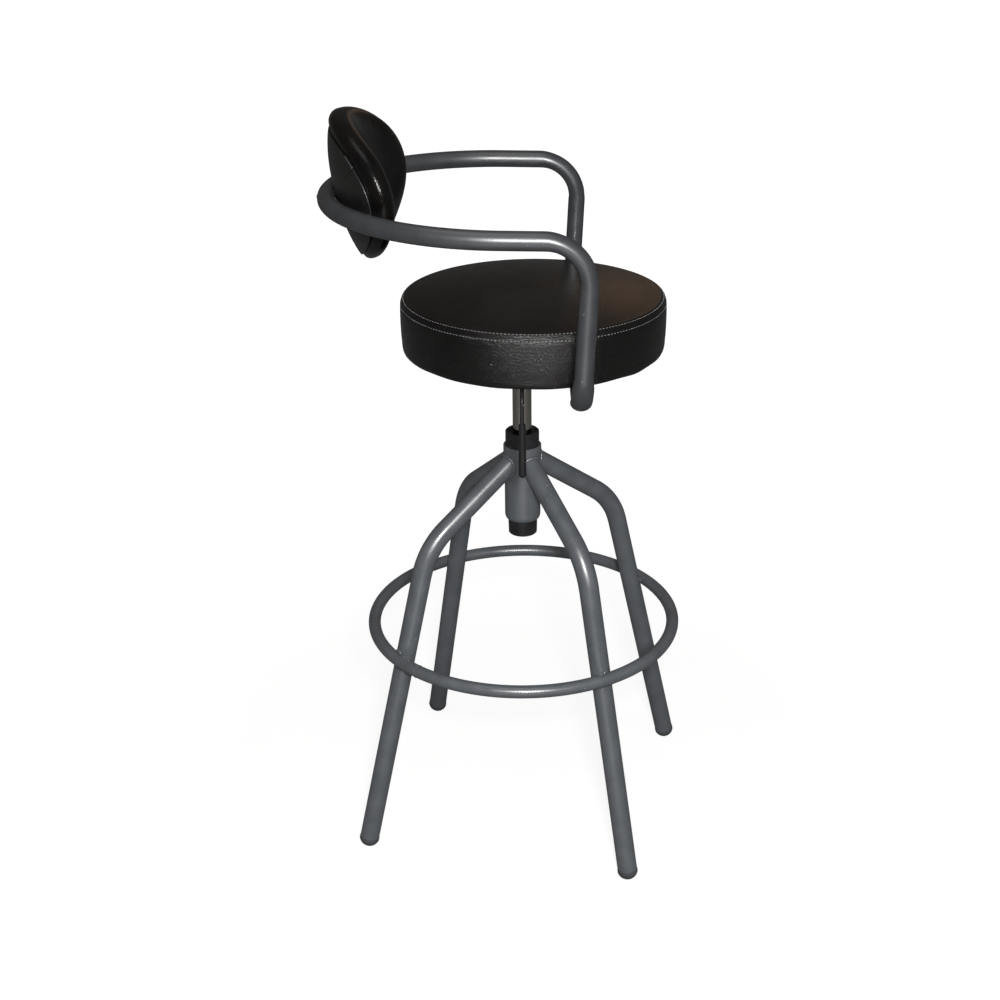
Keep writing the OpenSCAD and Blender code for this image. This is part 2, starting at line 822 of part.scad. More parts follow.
module at_arm_bolts()
    for (x = [-1, 1], bx = bracket_bolt_x, y = [-1, 1])
        translate([x * bx, -post_fore + y * bracket_bolt_y, 0])
            children();

module at_seat_nuts() {
    at_plate_bolts()
        children();
    at_arm_bolts()
        children();
}

// Seat board with the holes for its nuts
module seat_board() color("#b08c5c")
    difference() {
        translate([0, -seat_fore, seat_z])
            rotate_extrude()
                polygon(concat(
                    [[0, 0]],
                    arc(board_r - board_edge, board_edge, board_edge, board_edge, -90, 0, 6),
                    [[board_r, board_t], [0, board_t]]
                ));
        at_seat_nuts() {
            translate([0, 0, seat_z - over])
                cylinder(r = nut_barrel_r + run_gap, h = board_t + 2 * over);
            translate([0, 0, seat_z + board_t - nut_flange_t])
                cylinder(r = nut_flange_r + 0.1, h = nut_flange_t + over);
        }
    }

module seat_nuts() color(bright_steel)
    at_seat_nuts()
        difference() {
            union() {
                translate([0, 0, seat_z + board_t - nut_barrel_l])
                    cylinder(r = nut_barrel_r, h = nut_barrel_l);
                translate([0, 0, seat_z + board_t - nut_flange_t])
                    cylinder(r = nut_flange_r, h = nut_flange_t);
            }
            translate([0, 0, seat_z])
                cylinder(r = bolt_d / 2 + run_gap, h = board_t + over);
        }

// Hexagon bolt pointing up, with its head below z = 0
module hex_bolt(l) {
    cylinder(r = bolt_d / 2, h = l);
    translate([0, 0, -head_t])
        cylinder(r = bolt_d * 0.96, h = head_t, $fn = 6);
}

module plate_bolts() color(bright_steel)
    at_plate_bolts()
        translate([0, 0, seat_z - plate_t - washer_t])
            hex_bolt(plate_t + washer_t + board_t - bolt_short);

module arm_bolts() color(bright_steel)
    at_arm_bolts()
        translate([0, 0, seat_z - bracket_t - washer_t])
            hex_bolt(bracket_t + washer_t + board_t - bolt_short);

module bolt_washers() color(bright_steel) {
    at_plate_bolts()
        ring(washer_r, bolt_hole_r, seat_z - plate_t - washer_t, washer_t);
    at_arm_bolts()
        ring(washer_r, bolt_hole_r, seat_z - bracket_t - washer_t, washer_t);
}

// Seat cushion: a domed foam on the board, in a sewn vinyl cover
function crown_line(r, drop) = [
    for (i = [0 : 8])
        let (x = (r - 8) * i / 8)
        [x, seat_edge_h + seat_crown * (1 - pow(x / r, 2)) - drop]
];
function side_line(r) = [
    [r - 3.2, seat_edge_h + 0.2], [r - 1.2, seat_edge_h - 1.6], [r - 0.6, seat_edge_h - 3.4],
    [r - 1, seat_edge_h - 4.6], [r + 0.2, seat_edge_h - 7], [r + 0.7, seat_edge_h * 0.62],
    [r + 0.5, seat_edge_h * 0.4], [r - 0.2, 14], [r - 0.6, 5]
];

module seat_foam() color("#d9cf9c")
    translate([0, -seat_fore, seat_z])
        rotate_extrude($fn = 128)
            polygon(concat(
                [[0, board_t + 0.1]],
                crown_line(seat_r - vinyl_t, vinyl_t + 0.2),
                [for (p = side_line(seat_r - vinyl_t - 0.3)) if (p[1] > board_t + 2) [p[0], p[1] - 1]],
                [[board_r, board_t + 0.1]]
            ));

module seat_cover() color(black_vinyl)
    translate([0, -seat_fore, seat_z])
        rotate_extrude($fn = 128)
            polygon(concat(
                crown_line(seat_r, 0),
                side_line(seat_r),
                arc(seat_r - 0.6 - lower_roll, lower_roll - vinyl_t, lower_roll, lower_roll, -8, -90, 5),
                [[seat_r - turn_in, -vinyl_t], [seat_r - turn_in, -0.1], [board_r - board_edge, -0.1]],
                arc(board_r - board_edge, board_edge, board_edge + 0.2, board_edge + 0.1, -80, 0, 5),
                [[board_r + 0.2, board_t]],
                [for (p = flip(side_line(seat_r - vinyl_t))) if (p[1] > board_t + 2) [p[0], p[1] - 0.6]],
                flip(crown_line(seat_r - vinyl_t, vinyl_t))
            ));

// Arm hoop: run under the seat, post, arm, and the arc round the back
module hoop_side(r, past) {
    translate([hoop_half, -post_fore, run_z])
        rotate([post_lean, 0, 0]) {
            bend([-run_bend_r, run_bend_r], run_bend_r, r, -90, 90);
            bar([0, run_bend_r], 0, r, post_l - run_bend_r - arm_tangent, lap, lap);
        }
    translate([0, -post_fore, run_z])
        bar([run_in, 0], 90, r, hoop_half - run_bend_r - run_in, past, lap);
    translate([hoop_half, -arm_fore, arm_z]) {
        translate([
            0,
            arm_tangent * sin(post_lean) + arm_bend_r * cos(post_lean),
            -arm_tangent * cos(post_lean) + arm_bend_r * sin(post_lean)
        ])
            rotate([90, 0, 90])
                bend_arc(arm_bend_r, r, 90 + arm_rise, arm_turn);
        rotate([arm_rise - 90, 0, 0])
            bar([0, arm_tangent], 0, r, arm_l - arm_tangent, lap, lap);
    }
}

module hoop_arc(r)
    translate([0, arc_back, arc_z])
        rotate([arm_rise, 0, 0])
            bend_arc(hoop_half, r, 0, 180, $fn = 240);

module hoop_path(r, past) {
    hoop_side(r, past);
    mirror([1, 0, 0])
        hoop_side(r, past);
    hoop_arc(r);
}

// Places its child at the middle of the rear arc, leaned back with the pad
module at_back()
    translate([0, apex_y, apex_z])
        rotate([-recline, 0, 0])
            children();

module at_back_screws()
    at_back()
        for (x = [-1, 1])
            translate([x * back_span / 2, 0, 0])
                rotate([90, 0, 0])
                    children();

module arm_hoop() color(charcoal)
    difference() {
        hoop_path(hoop_r, 0);
        hoop_path(hoop_r - hoop_wall, over);
        at_back_screws() {
            translate([0, 0, -hoop_d])
                cylinder(r = back_hole_r, h = 2 * hoop_d);
            translate([0, 0, -hoop_r - 1 + arc_dip])
                cylinder(r1 = bolt_d + 1, r2 = bolt_d / 2, h = bolt_d / 2 + 1);
        }
    }

module hoop_plugs() color(black_plastic)
    for (s = [0, 1])
        mirror([s, 0, 0])
            translate([run_in, -post_fore, run_z])
                rotate([0, 90, 0]) {
                    translate([0, 0, -plug_t])
                        cylinder(r = hoop_r - 0.4, h = plug_t);
                    cylinder(r = hoop_r - hoop_wall - 0.1, h = plug_l);
                }

// Arm brackets, grooved where the hoop's runs are welded to them
module arm_bracket() color(charcoal)
    difference() {
        translate([bracket_x + bracket_l / 2, -post_fore, seat_z - bracket_t])
            linear_extrude(bracket_t)
                rounded(bracket_l, bracket_w, 10);
        translate([0, -post_fore, run_z])
            rotate([0, 90, 0])
                cylinder(r = hoop_r, h = hoop_half);
        for (bx = bracket_bolt_x, y = [-1, 1])
            translate([bx, -post_fore + y * bracket_bolt_y, seat_z - 2 * bracket_t])
                cylinder(r = bolt_hole_r, h = 3 * bracket_t);
    }

module arm_bracket_left() arm_bracket();

module arm_bracket_right()
    mirror([1, 0, 0])
        arm_bracket();

// Backrest surfaces: closed forms skinned over oval rings that curve round the sitter.
// Each ring is [share, radius, inset at the sides, inset at top and foot], and the two
// poles close the skin.
function oval_point(ring_at, a) =
    let (
        around = (pad_half - ring_at[2]) * ring_at[0] * cos(a) / rim_r * 180 / PI,
        up = (pad_rise - ring_at[3]) * ring_at[0] * sin(a)
    )
    [ring_at[1] * sin(around), ring_at[1] * cos(around) - hoop_half, up + pad_up];

module oval_skin(rings, pole_a, pole_b) {
    n = oval_steps;
    m = len(rings);
    points = concat(
        [for (q = rings, j = [0 : n - 1]) oval_point(q, 360 * j / n)],
        [[0, pole_a - hoop_half, pad_up], [0, pole_b - hoop_half, pad_up]]
    );
    faces = concat(
        [for (j = [0 : n - 1]) [n * m, (j + 1) % n, j]],
        [for (i = [0 : n : n * (m - 2)], j = [0 : n - 1]) [i + j, i + (j + 1) % n, i + n + j]],
        [for (i = [0 : n : n * (m - 2)], j = [0 : n - 1]) [i + (j + 1) % n, i + n + (j + 1) % n, i + n + j]],
        [for (j = [0 : n - 1]) [n * m + 1, n * (m - 1) + j, n * (m - 1) + (j + 1) % n]]
    );
    polyhedron(points = points, faces = faces);
}

// The pad's skins: a crowned front panel, a crease, a fat roll, and the roll's back.
// A roll's width is a share of the pad, and a skin lies inside the outer one by its depth.
function pad_roll(skin, roll, depth, angles) = [
    for (a = angles)
        [1 - roll * (1 - cos(a)) - skin / pad_half * cos(a), rim_r - (depth - skin) * sin(a), 0, 0]
];
function panel_at(k) = panel_r - pad_crown * (1 - pow(k / pad_panel, 2));
function pad_front_rings(skin) = concat(
    [for (k = [0.3, 0.58, 0.71]) [k, panel_at(k) + skin, 0, 0]],
    pad_roll(skin, front_roll, pad_front, [crease_turn, 100, 78, 56, 36, 18, 0])
);
function pad_rear_rings(skin) = pad_roll(skin, rear_roll, pad_rear, [-25, -50, -75, -90]);

module back_cover() color(black_vinyl)
    at_back()
        oval_skin(
            concat(
                pad_front_rings(0), pad_rear_rings(0),
                [for (r = [pad_back_r, pad_back_r - vinyl_t]) [1, r, flap_in, flap_in]],
                flip(pad_rear_rings(vinyl_t)), flip(pad_front_rings(vinyl_t))
            ),
            panel_at(0), panel_at(0) + vinyl_t
        );

module back_foam() color("#d9cf9c")
    at_back()
        oval_skin(
            concat(
                pad_front_rings(foam_skin),
                [for (k = [1 : -0.25 : 0.25]) [k, foam_back_r, foam_in, foam_in]]
            ),
            panel_at(0) + foam_skin, foam_back_r
        );

// Curved plywood board in the pad
module back_board() color("#b08c5c")
    difference() {
        at_back()
            intersection() {
                translate([0, -hoop_half, -pad_rise])
                    rotate([0, 0, 30])
                        rotate_extrude(angle = 120, $fn = 144)
                            translate([board_front_r, 0])
                                square([back_board_t, 3 * pad_rise]);
                translate([0, 0, pad_up])
                    rotate([90, 0, 0])
                        linear_extrude(hoop_half)
                            polygon([
                                for (a = [0 : 5 : 355])
                                    [
                                        board_back_r * sin(board_half * cos(a)),
                                        (pad_rise - board_inset) * sin(a)
                                    ]
                            ]);
            }
        at_back_screws()
            cylinder(r = nut_barrel_r + 0.1, h = 2 * rim_in);
    }

// Moulded back shell, a thin bowl that bulges behind the pad
function shell_bulge_at(k) = shell_lip + (shell_bulge - shell_lip) * (1 - pow(k, shell_fall));
function shell_rings(skin) = concat(
    [
        for (k = [0.2, 0.4, 0.6, 0.8, 0.9, 1])
            [k, shell_edge_r + shell_bulge_at(k) - skin, shell_inset + skin * k, shell_inset_z + skin * k]
    ],
    [[1, shell_edge_r, shell_inset + skin, shell_inset_z + skin]]
);

module back_shell() color(black_plastic)
    difference() {
        at_back()
            translate([0, 0, -shell_drop])
                oval_skin(
                    concat(shell_rings(shell_wall), flip(shell_rings(0))),
                    shell_top_r - shell_wall, shell_top_r
                );
        at_back_screws()
            cylinder(r = back_hole_r, h = rim_in);
    }

module back_spacers() color(black_plastic)
    difference() {
        at_back_screws()
            translate([0, 0, hoop_r - spacer_saddle])
                difference() {
                    cylinder(r = spacer_r, h = hoop_half - shell_top_r - hoop_r + spacer_saddle);
                    translate([0, 0, -over])
                        cylinder(r = back_hole_r, h = rim_in);
                }
        hoop_arc(hoop_r);
    }

module back_screws() color(bright_steel)
    at_back_screws()
        translate([0, 0, -hoop_r + arc_dip]) {
            cylinder(r1 = bolt_d, r2 = bolt_d / 2, h = bolt_d / 2);
            cylinder(r = bolt_d / 2, h = hoop_r - arc_dip + hoop_half - board_front_r - nut_sink);
        }

module back_nuts() color(bright_steel)
    at_back_screws()
        translate([0, 0, hoop_half - board_back_r + nut_sink])
            difference() {
                cylinder(r = nut_barrel_r, h = back_board_t - nut_sink - 0.2);
                translate([0, 0, -over])
                    cylinder(r = bolt_d / 2 + run_gap, h = back_board_t);
            }

leg(0);  // leg_back_left
leg(1);  // leg_back_right
leg(2);  // leg_front_right
leg(3);  // leg_front_left
glide(0);  // glide_back_left
glide(1);  // glide_back_right
glide(2);  // glide_front_right
glide(3);  // glide_front_left
foot_ring();
hub_sleeve();
column_tube();
guide_bush();
bearing_race_lower();
bearing_balls();
bearing_cage();
bearing_race_upper();
rubber_bumper();
piston_rod();
piston_head();
rod_washer();
rod_clip();
gas_cylinder();
rod_seal();
release_pin();
seat_plate();
taper_socket();
lever_bracket();
lever_pin();
lever_rod();
lever_grip();
seat_board();
seat_nuts();
plate_bolts();
arm_bolts();
bolt_washers();
seat_foam();
seat_cover();
arm_hoop();
hoop_plugs();
arm_bracket_right();
arm_bracket_left();
back_screws();
back_spacers();
back_shell();
back_board();
back_nuts();
back_foam();
back_cover();
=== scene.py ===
import math

import bmesh
import bpy
from mathutils import Matrix, Vector, kdtree


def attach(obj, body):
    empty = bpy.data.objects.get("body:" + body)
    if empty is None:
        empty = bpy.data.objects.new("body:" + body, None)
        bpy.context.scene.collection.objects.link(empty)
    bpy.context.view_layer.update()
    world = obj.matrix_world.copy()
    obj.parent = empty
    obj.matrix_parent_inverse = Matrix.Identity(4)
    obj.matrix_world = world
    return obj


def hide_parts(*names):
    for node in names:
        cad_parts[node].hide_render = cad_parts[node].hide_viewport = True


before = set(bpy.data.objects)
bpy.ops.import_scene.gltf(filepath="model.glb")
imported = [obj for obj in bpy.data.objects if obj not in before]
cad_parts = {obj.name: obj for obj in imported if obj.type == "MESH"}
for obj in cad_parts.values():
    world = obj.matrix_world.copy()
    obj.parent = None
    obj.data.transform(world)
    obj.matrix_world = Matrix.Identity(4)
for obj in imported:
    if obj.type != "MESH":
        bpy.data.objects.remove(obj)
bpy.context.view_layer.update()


# The view
# The photograph looks at the stool's right-hand side, from 2.2 m away and above
# the backrest, with a slightly tilted camera.
look_down = 0.4078
tilt = -0.0070
lens_data = bpy.data.cameras.new("camera")
lens_data.sensor_width = 36
lens_data.lens = 57.347
lens_data.shift_x = -0.02254
lens_data.shift_y = -0.020
turn = (
    Matrix.Rotation(-math.pi / 2, 3, "Z")
    @ Matrix.Rotation(math.pi / 2 - look_down, 3, "X")
    @ Matrix.Rotation(tilt, 3, "Z")
)
camera = bpy.data.objects.new("camera", lens_data)
camera.location = (-2.1803, 0, 1.4841)
camera.rotation_euler = turn.to_euler()
scene = bpy.context.scene
scene.collection.objects.link(camera)
scene.camera = camera
scene.view_settings.view_transform = "Standard"


# The floor and the room
# A plain matt floor that runs out of sight and reads white behind the stool, and a dim
# room, lighter on its window side, which the black vinyl and the paint reflect. In front of
# the stool the floor also glows in a round pool that only reflections see: a painted
# reflection that puts painted highlights on the seat's side, the cylinder and the tubes.
def add(tree, kind, **settings):
    """One shader node. Names of its properties set them, and the rest sets its sockets."""
    made = tree.nodes.new(kind)
    for key, value in settings.items():
        if hasattr(made, key):
            setattr(made, key, value)
        else:
            made.inputs[key.replace("_", " ")].default_value = value
    return made


def link(tree, source, output, target, socket):
    tree.links.new(source.outputs[output], target.inputs[socket])


def between(tree, source, output, low, high, start=0.0, end=1.0):
    """Stretches a value from the range start..end to low..high."""
    made = add(tree, "ShaderNodeMapRange", From_Min=start, From_Max=end, To_Min=low, To_Max=high)
    link(tree, source, output, made, "Value")
    return made


def combine(tree, operation, first, first_output, second, second_output):
    """The product of two values, the larger of them, or the like."""
    made = add(tree, "ShaderNodeMath", operation=operation)
    link(tree, first, first_output, made, 0)
    link(tree, second, second_output, made, 1)
    return made


def new_object(name, mesh, material, body=None, smooth=True):
    """Puts a finished mesh in the scene with its material, riding on its body."""
    piece = bpy.data.objects.new(name, mesh)
    scene.collection.objects.link(piece)
    mesh.materials.clear()
    mesh.materials.append(material)
    mesh.polygons.foreach_set("use_smooth", [smooth] * len(mesh.polygons))
    if body:
        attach(piece, body)
    return piece


floor_reach = 40
floor_grey = (0.15, 0.15, 0.15, 1)
white = (1, 1, 1, 1)
reflection_pool_centre = (-2.0, 0, 0)
floor_mesh = bpy.data.meshes.new("floor")
floor_corners = [(x * floor_reach, y * floor_reach, 0) for x, y in ((-1, -1), (1, -1), (1, 1), (-1, 1))]
floor_mesh.from_pydata(floor_corners, [], [(0, 1, 2, 3)])
floor_paint = bpy.data.materials.new("floor_paint")
floor_paint.use_nodes = True
tree = floor_paint.node_tree
tree.nodes.clear()
matt = add(tree, "ShaderNodeBsdfDiffuse", Color=floor_grey)
glow = add(tree, "ShaderNodeEmission", Color=white)
rays = add(tree, "ShaderNodeLightPath")
ground = add(tree, "ShaderNodeTexCoord")
from_column = add(tree, "ShaderNodeVectorMath", operation="LENGTH")
link(tree, ground, "Object", from_column, 0)
to_white = between(tree, from_column, "Value", low=0.88, high=1.02, start=0.5, end=1.8)
# Painted reflection: a glowing pool on the floor in front of the stool, seen only by reflected rays, which
# puts painted highlights on the seat's side, the cylinder and the tubes.
from_reflection_pool = add(tree, "ShaderNodeVectorMath", operation="DISTANCE")
from_reflection_pool.inputs[1].default_value = reflection_pool_centre
link(tree, ground, "Object", from_reflection_pool, 0)
reflection_pool_edge = between(tree, from_reflection_pool, "Value", low=1.65, high=0.17, start=0.0, end=1.25)
reflection_pool_glow = combine(tree, "MULTIPLY", reflection_pool_edge, "Result", reflection_pool_edge, "Result")
mirrored = combine(tree, "MAXIMUM", rays, "Is Glossy Ray", rays, "Is Transmission Ray")
painted_reflection_pool = combine(tree, "MULTIPLY", mirrored, 0, reflection_pool_glow, 0)
seen = combine(tree, "MAXIMUM", rays, "Is Camera Ray", painted_reflection_pool, 0)
lift_to_white = combine(tree, "MULTIPLY", seen, 0, to_white, "Result")
both = add(tree, "ShaderNodeAddShader")
out = add(tree, "ShaderNodeOutputMaterial")
link(tree, lift_to_white, 0, glow, "Strength")
link(tree, matt, 0, both, 0)
link(tree, glow, 0, both, 1)
link(tree, both, 0, out, "Surface")
new_object("floor", floor_mesh, floor_paint, smooth=False)

wall_dark = (0.11, 0.099, 0.09, 1)
wall_plain = (0.15, 0.144, 0.138, 1)
wall_window = (0.4, 0.4, 0.4, 1)
window_way = (-0.5, -0.2, 0)
world = bpy.data.worlds.new("room")
scene.world = world
world.use_nodes = True
tree = world.node_tree
tree.nodes.clear()
way = add(tree, "ShaderNodeTexCoord")
axes = add(tree, "ShaderNodeSeparateXYZ")
link(tree, way, "Generated", axes, 0)
window_side = add(tree, "ShaderNodeVectorMath", operation="DOT_PRODUCT")
window_side.inputs[1].default_value = window_way
link(tree, way, "Generated", window_side, 0)
toward = between(tree, window_side, "Value", low=0, high=1, start=-0.45, end=0.55)
shades = add(tree, "ShaderNodeValToRGB")
ramp = shades.color_ramp
ramp.elements[0].position = 0
ramp.elements[0].color = wall_dark
ramp.elements[1].position = 0.9
ramp.elements[1].color = wall_window
middle = ramp.elements.new(0.45)
middle.color = wall_plain
link(tree, toward, "Result", shades, "Fac")
room = add(tree, "ShaderNodeBackground", Strength=1)
link(tree, shades, "Color", room, "Color")
backdrop = add(tree, "ShaderNodeBackground", Color=white, Strength=1)
rays = add(tree, "ShaderNodeLightPath")
mirrored = combine(tree, "MAXIMUM", rays, "Is Glossy Ray", rays, "Is Transmission Ray")
plain = between(tree, mirrored, 0, low=1.5, high=0)
dusk = between(tree, axes, "Z", low=0.12, high=0.7, start=0.0, end=0.35)
dim = combine(tree, "MAXIMUM", plain, "Result", dusk, "Result")
link(tree, dim, 0, room, "Strength")
low_band = between(tree, axes, "Z", low=0.12, high=0, start=0.04, end=0.12)
mirrored_low = combine(tree, "MULTIPLY", mirrored, 0, low_band, "Result")
seen = combine(tree, "MAXIMUM", rays, "Is Camera Ray", mirrored_low, 0)
choose = add(tree, "ShaderNodeMixShader")
out = add(tree, "ShaderNodeOutputWorld")
link(tree, seen, 0, choose, "Fac")
link(tree, room, 0, choose, 1)
link(tree, backdrop, 0, choose, 2)
link(tree, choose, 0, out, "Surface")


def lamp(name, at, target, size, power, color=(1, 1, 1)):
    """A round soft lamp of this width in metres and power in watts."""
    data = bpy.data.lights.new(name, "AREA")
    data.shape = "DISK"
    data.size = size
    data.energy = power
    data.color = color
    made = bpy.data.objects.new(name, data)
    made.location = at
    made.rotation_euler = (Vector(target) - Vector(at)).to_track_quat("-Z", "Y").to_euler()
    scene.collection.objects.link(made)


lamp("key_lamp", (-2.35, -0.12, 1.72), target=(0, 0, 0.6), size=0.3, power=77, color=(1.0, 0.99, 0.98))
lamp("top_lamp", (-0.3, 0.3, 3.4), target=(0, 0, 0.5), size=1.8, power=9)
lamp("wall_card", (2.9, -0.5, 1.74), target=(0, 0, 0.8), size=0.55, power=0.3, color=(1.0, 0.6, 0.36))


# The leg frame
# Four legs bent from 29 mm steel tube are welded to a turned hub sleeve, and all of it
# is sprayed with one charcoal powder coat: satin, very finely pebbled, a few chips.
mm = 0.001
leg_r = 14.5
leg_fall = math.radians(35.4)
leg_turns = [math.radians(32.5 + 90 * i) for i in range(4)]
leg_root_z = 589.5
hub_r = 26.6
hub_flare, flare_from, flare_tall = 1.55, 559, 26
weld_proud = 0.4
cope_steps = 120
bare_metal = (0.24, 0.25, 0.26, 1)


def surface(name):
    """An empty material with its shader, its output and the place on the object in metres."""
    made = bpy.data.materials.new(name)
    made.use_nodes = True
    tree = made.node_tree
    tree.nodes.clear()
    shader = add(tree, "ShaderNodeBsdfPrincipled")
    out = add(tree, "ShaderNodeOutputMaterial")
    place = add(tree, "ShaderNodeTexCoord")
    link(tree, shader, 0, out, "Surface")
    return made, tree, shader, place


def speckle(tree, place, scale, detail, roughness=0.5):
    """A cloudy noise in the place on the object. A larger scale makes smaller clouds."""
    made = add(tree, "ShaderNodeTexNoise", Scale=scale, Detail=detail, Roughness=roughness)
    link(tree, place, "Object", made, "Vector")
    return made


def two_tones(tree, source, output, first, second, start=0.4, end=0.6):
    """Turns a value into a blend of two colours."""
    made = add(tree, "ShaderNodeValToRGB")
    made.color_ramp.elements[0].position = start
    made.color_ramp.elements[0].color = (*first, 1)
    made.color_ramp.elements[1].position = end
    made.color_ramp.elements[1].color = (*second, 1)
    link(tree, source, output, made, "Fac")
    return made


def relief(tree, source, output, shader, depth, strength=1.0, below=None):
    """Presses a pattern of this depth in metres into the surface, on top of the relief below."""
    made = add(tree, "ShaderNodeBump", Strength=strength, Distance=depth)
    link(tree, source, output, made, "Height")
    if below:
        link(tree, below, "Normal", made, "Normal")
    link(tree, made, "Normal", shader, "Normal")
    return made


def powder_coat(name, dark, light, rough_low, rough_high, gloss, chipped=0.8):
    """A sprayed or moulded skin, very finely pebbled. Chips show where it is knocked."""
    made, tree, shader, place = surface(name)
    shader.inputs["Specular IOR Level"].default_value = gloss
    cloud = speckle(tree, place, scale=35, detail=3)
    tone = two_tones(tree, cloud, "Fac", dark, light, start=0.3, end=0.7)
    chips = speckle(tree, place, scale=300, detail=0)
    chip_mask = between(tree, chips, "Fac", low=0, high=1, start=0.79, end=0.81)
    patches = speckle(tree, place, scale=14, detail=1)
    patch_mask = between(tree, patches, "Fac", low=0, high=chipped, start=0.6, end=0.66)
    knocked = combine(tree, "MULTIPLY", chip_mask, "Result", patch_mask, "Result")
    worn = add(tree, "ShaderNodeMix", data_type="RGBA")
    link(tree, knocked, 0, worn, 0)
    link(tree, tone, "Color", worn, 6)
    worn.inputs[7].default_value = bare_metal
    link(tree, worn, 2, shader, "Base Color")
    rough = between(tree, cloud, "Fac", rough_low, rough_high, start=0.3, end=0.7)
    link(tree, rough, "Result", shader, "Roughness")
    grains = speckle(tree, place, scale=1100, detail=1)
    relief(tree, grains, "Fac", shader, depth=0.00006, strength=0.5)
    return made


def finish_nodes(material, *nodes):
    """Gives pieces that come from the CAD as they are their finish."""
    for node in nodes:
        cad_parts[node].data.materials.clear()
        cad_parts[node].data.materials.append(material)


def limited(value):
    """The value, kept between 0 and 1."""
    return min(1, max(0, value))


def skin(name, points, faces):
    """A mesh of these points and faces, with its outer side out."""
    mesh = bpy.data.meshes.new(name)
    mesh.from_pydata(points, [], faces)
    made = bmesh.new()
    made.from_mesh(mesh)
    bmesh.ops.recalc_face_normals(made, faces=made.faces)
    made.to_mesh(mesh)
    made.free()
    return mesh


def tube_mesh(name, path, size_at, sides, closed=False):
    """A skin round a path. size_at gives the two half widths at a point, towards the bend's
    centre and across it, and the direction of that centre."""
    rings = []
    count = len(path)
    across = None
    for i, at in enumerate(path):
        before = path[i - 1] if (i or closed) else at
        after = path[(i + 1) % count] if (i < count - 1 or closed) else at
        along = (after - before).normalized()
        if across is None:
            across = along.orthogonal()
        across = (across - along * across.dot(along)).normalized()
        inner_r, outer_r, inward = size_at(i)
        inward = across if inward is None else (inward - along * inward.dot(along)).normalized()
        side = along.cross(inward)
        ring = []
        for j in range(sides):
            a = 2 * math.pi * j / sides
            out = across * math.cos(a) + along.cross(across) * math.sin(a)
            ring.append(at + inward * (inner_r * out.dot(inward)) + side * (outer_r * out.dot(side)))
        rings.append(ring)
    faces = []
    for i in range(count if closed else count - 1):
        for j in range(sides):
            k = (j + 1) % sides
            a, b = sides * i, sides * ((i + 1) % count)
            faces.append((a + j, a + k, b + k, b + j))
    if not closed:
        faces.append(tuple(range(sides)))
        faces.append(tuple(sides * (count - 1) + j for j in range(sides)))
    return skin(name, [p for ring in rings for p in ring], faces)


def weld(name, points, radius, ripple, pitch, sides=10):
    """A closed bead of weld through points in millimetres, rippled where its pool froze."""
    path = [at * mm for at in points]
    run = [0.0]
    for a, b in zip(path, path[1:]):
        run.append(run[-1] + (b - a).length)

    def width(i):
        wide = (radius + ripple * abs(math.sin(math.pi * run[i] / (pitch * mm)))) * mm
        return wide, wide, None

    new_object(name, tube_mesh(name, path, width, sides, closed=True), charcoal, "base")


def turned(points, angle):
    """The points, turned about the column."""
    return [Matrix.Rotation(angle, 3, "Z") @ at for at in points]


charcoal = powder_coat("charcoal_coat", dark=(0.064, 0.0705, 0.078), light=(0.084, 0.0915, 0.1015),
                       rough_low=0.28, rough_high=0.37, gloss=1.0)
finish_nodes(charcoal, "leg_back_left", "leg_back_right", "leg_front_right", "leg_front_left", "hub_sleeve")
cope = []
for j in range(cope_steps):
    a = 2 * math.pi * j / cope_steps
    across, up = leg_r * math.sin(a), leg_r * math.cos(a)
    sleeve_r = hub_r
    for _ in range(3):
        out = math.sqrt(sleeve_r ** 2 - across ** 2) - up * math.sin(leg_fall)
        z = leg_root_z - out * math.tan(leg_fall) + up * math.cos(leg_fall)
        sleeve_r = hub_r + hub_flare * limited((z - flare_from) / flare_tall)
    cope.append(Vector((math.sqrt(sleeve_r ** 2 - across ** 2) + weld_proud, across, z)))
for i, leg_turn in enumerate(leg_turns):
    weld("root_weld_%d" % i, turned(cope, leg_turn), radius=2.3, ripple=0.45, pitch=2.6)


# Glides
# A cap moulded in dark grey plastic closes the end of each leg and stands on the floor,
# where its dome wears flat. Its stem is pressed into the tube.
glide_grey = powder_coat("glide_plastic", dark=(0.048, 0.052, 0.056), light=(0.058, 0.062, 0.067),
                         rough_low=0.4, rough_high=0.5, gloss=0.3)
finish_nodes(glide_grey, "glide_back_left", "glide_back_right", "glide_front_right", "glide_front_left")


# Foot ring
# A hoop of 19 mm tube lies round the outside of the legs, notched a little where it
# touches them, with a weld bead round each touch and one ground butt weld of its own.
ring_r, ring_z, ring_tube = 229.4, 314.5, 9.3
splay = math.radians(14.3)
foot_r = 286
touch_half, touch_rise, touch_sunk, touch_proud = 5.6, 5.0, 0.3, 0.2
butt_turn = math.radians(138)
bead_steps = 48
finish_nodes(charcoal, "foot_ring")
leg_face = foot_r - ring_z * math.tan(splay) + leg_r / math.cos(splay) - touch_sunk
touch, butt = [], []
for j in range(bead_steps):
    a = 2 * math.pi * j / bead_steps
    across, up = touch_half * math.cos(a), touch_rise * math.sin(a)
    out = leg_face - up * math.tan(splay) - across ** 2 / (2 * leg_r) + touch_proud
    touch.append(Vector((out, across, ring_z + up)))
    butt.append(Vector((ring_r + ring_tube * math.cos(a), 0, ring_z + ring_tube * math.sin(a))))
for i, leg_turn in enumerate(leg_turns):
    weld("ring_weld_%d" % i, turned(touch, leg_turn), radius=1.9, ripple=0.35, pitch=2.4)
weld("butt_weld", turned(butt, butt_turn), radius=0.5, ripple=0.12, pitch=2, sides=8)


# Gas lift
# The black steel column is driven into the hub's taper. A ground steel cylinder slides
# in its plastic bush, and the piston rod, bearing and bumper are inside.
line_shade = 0.86


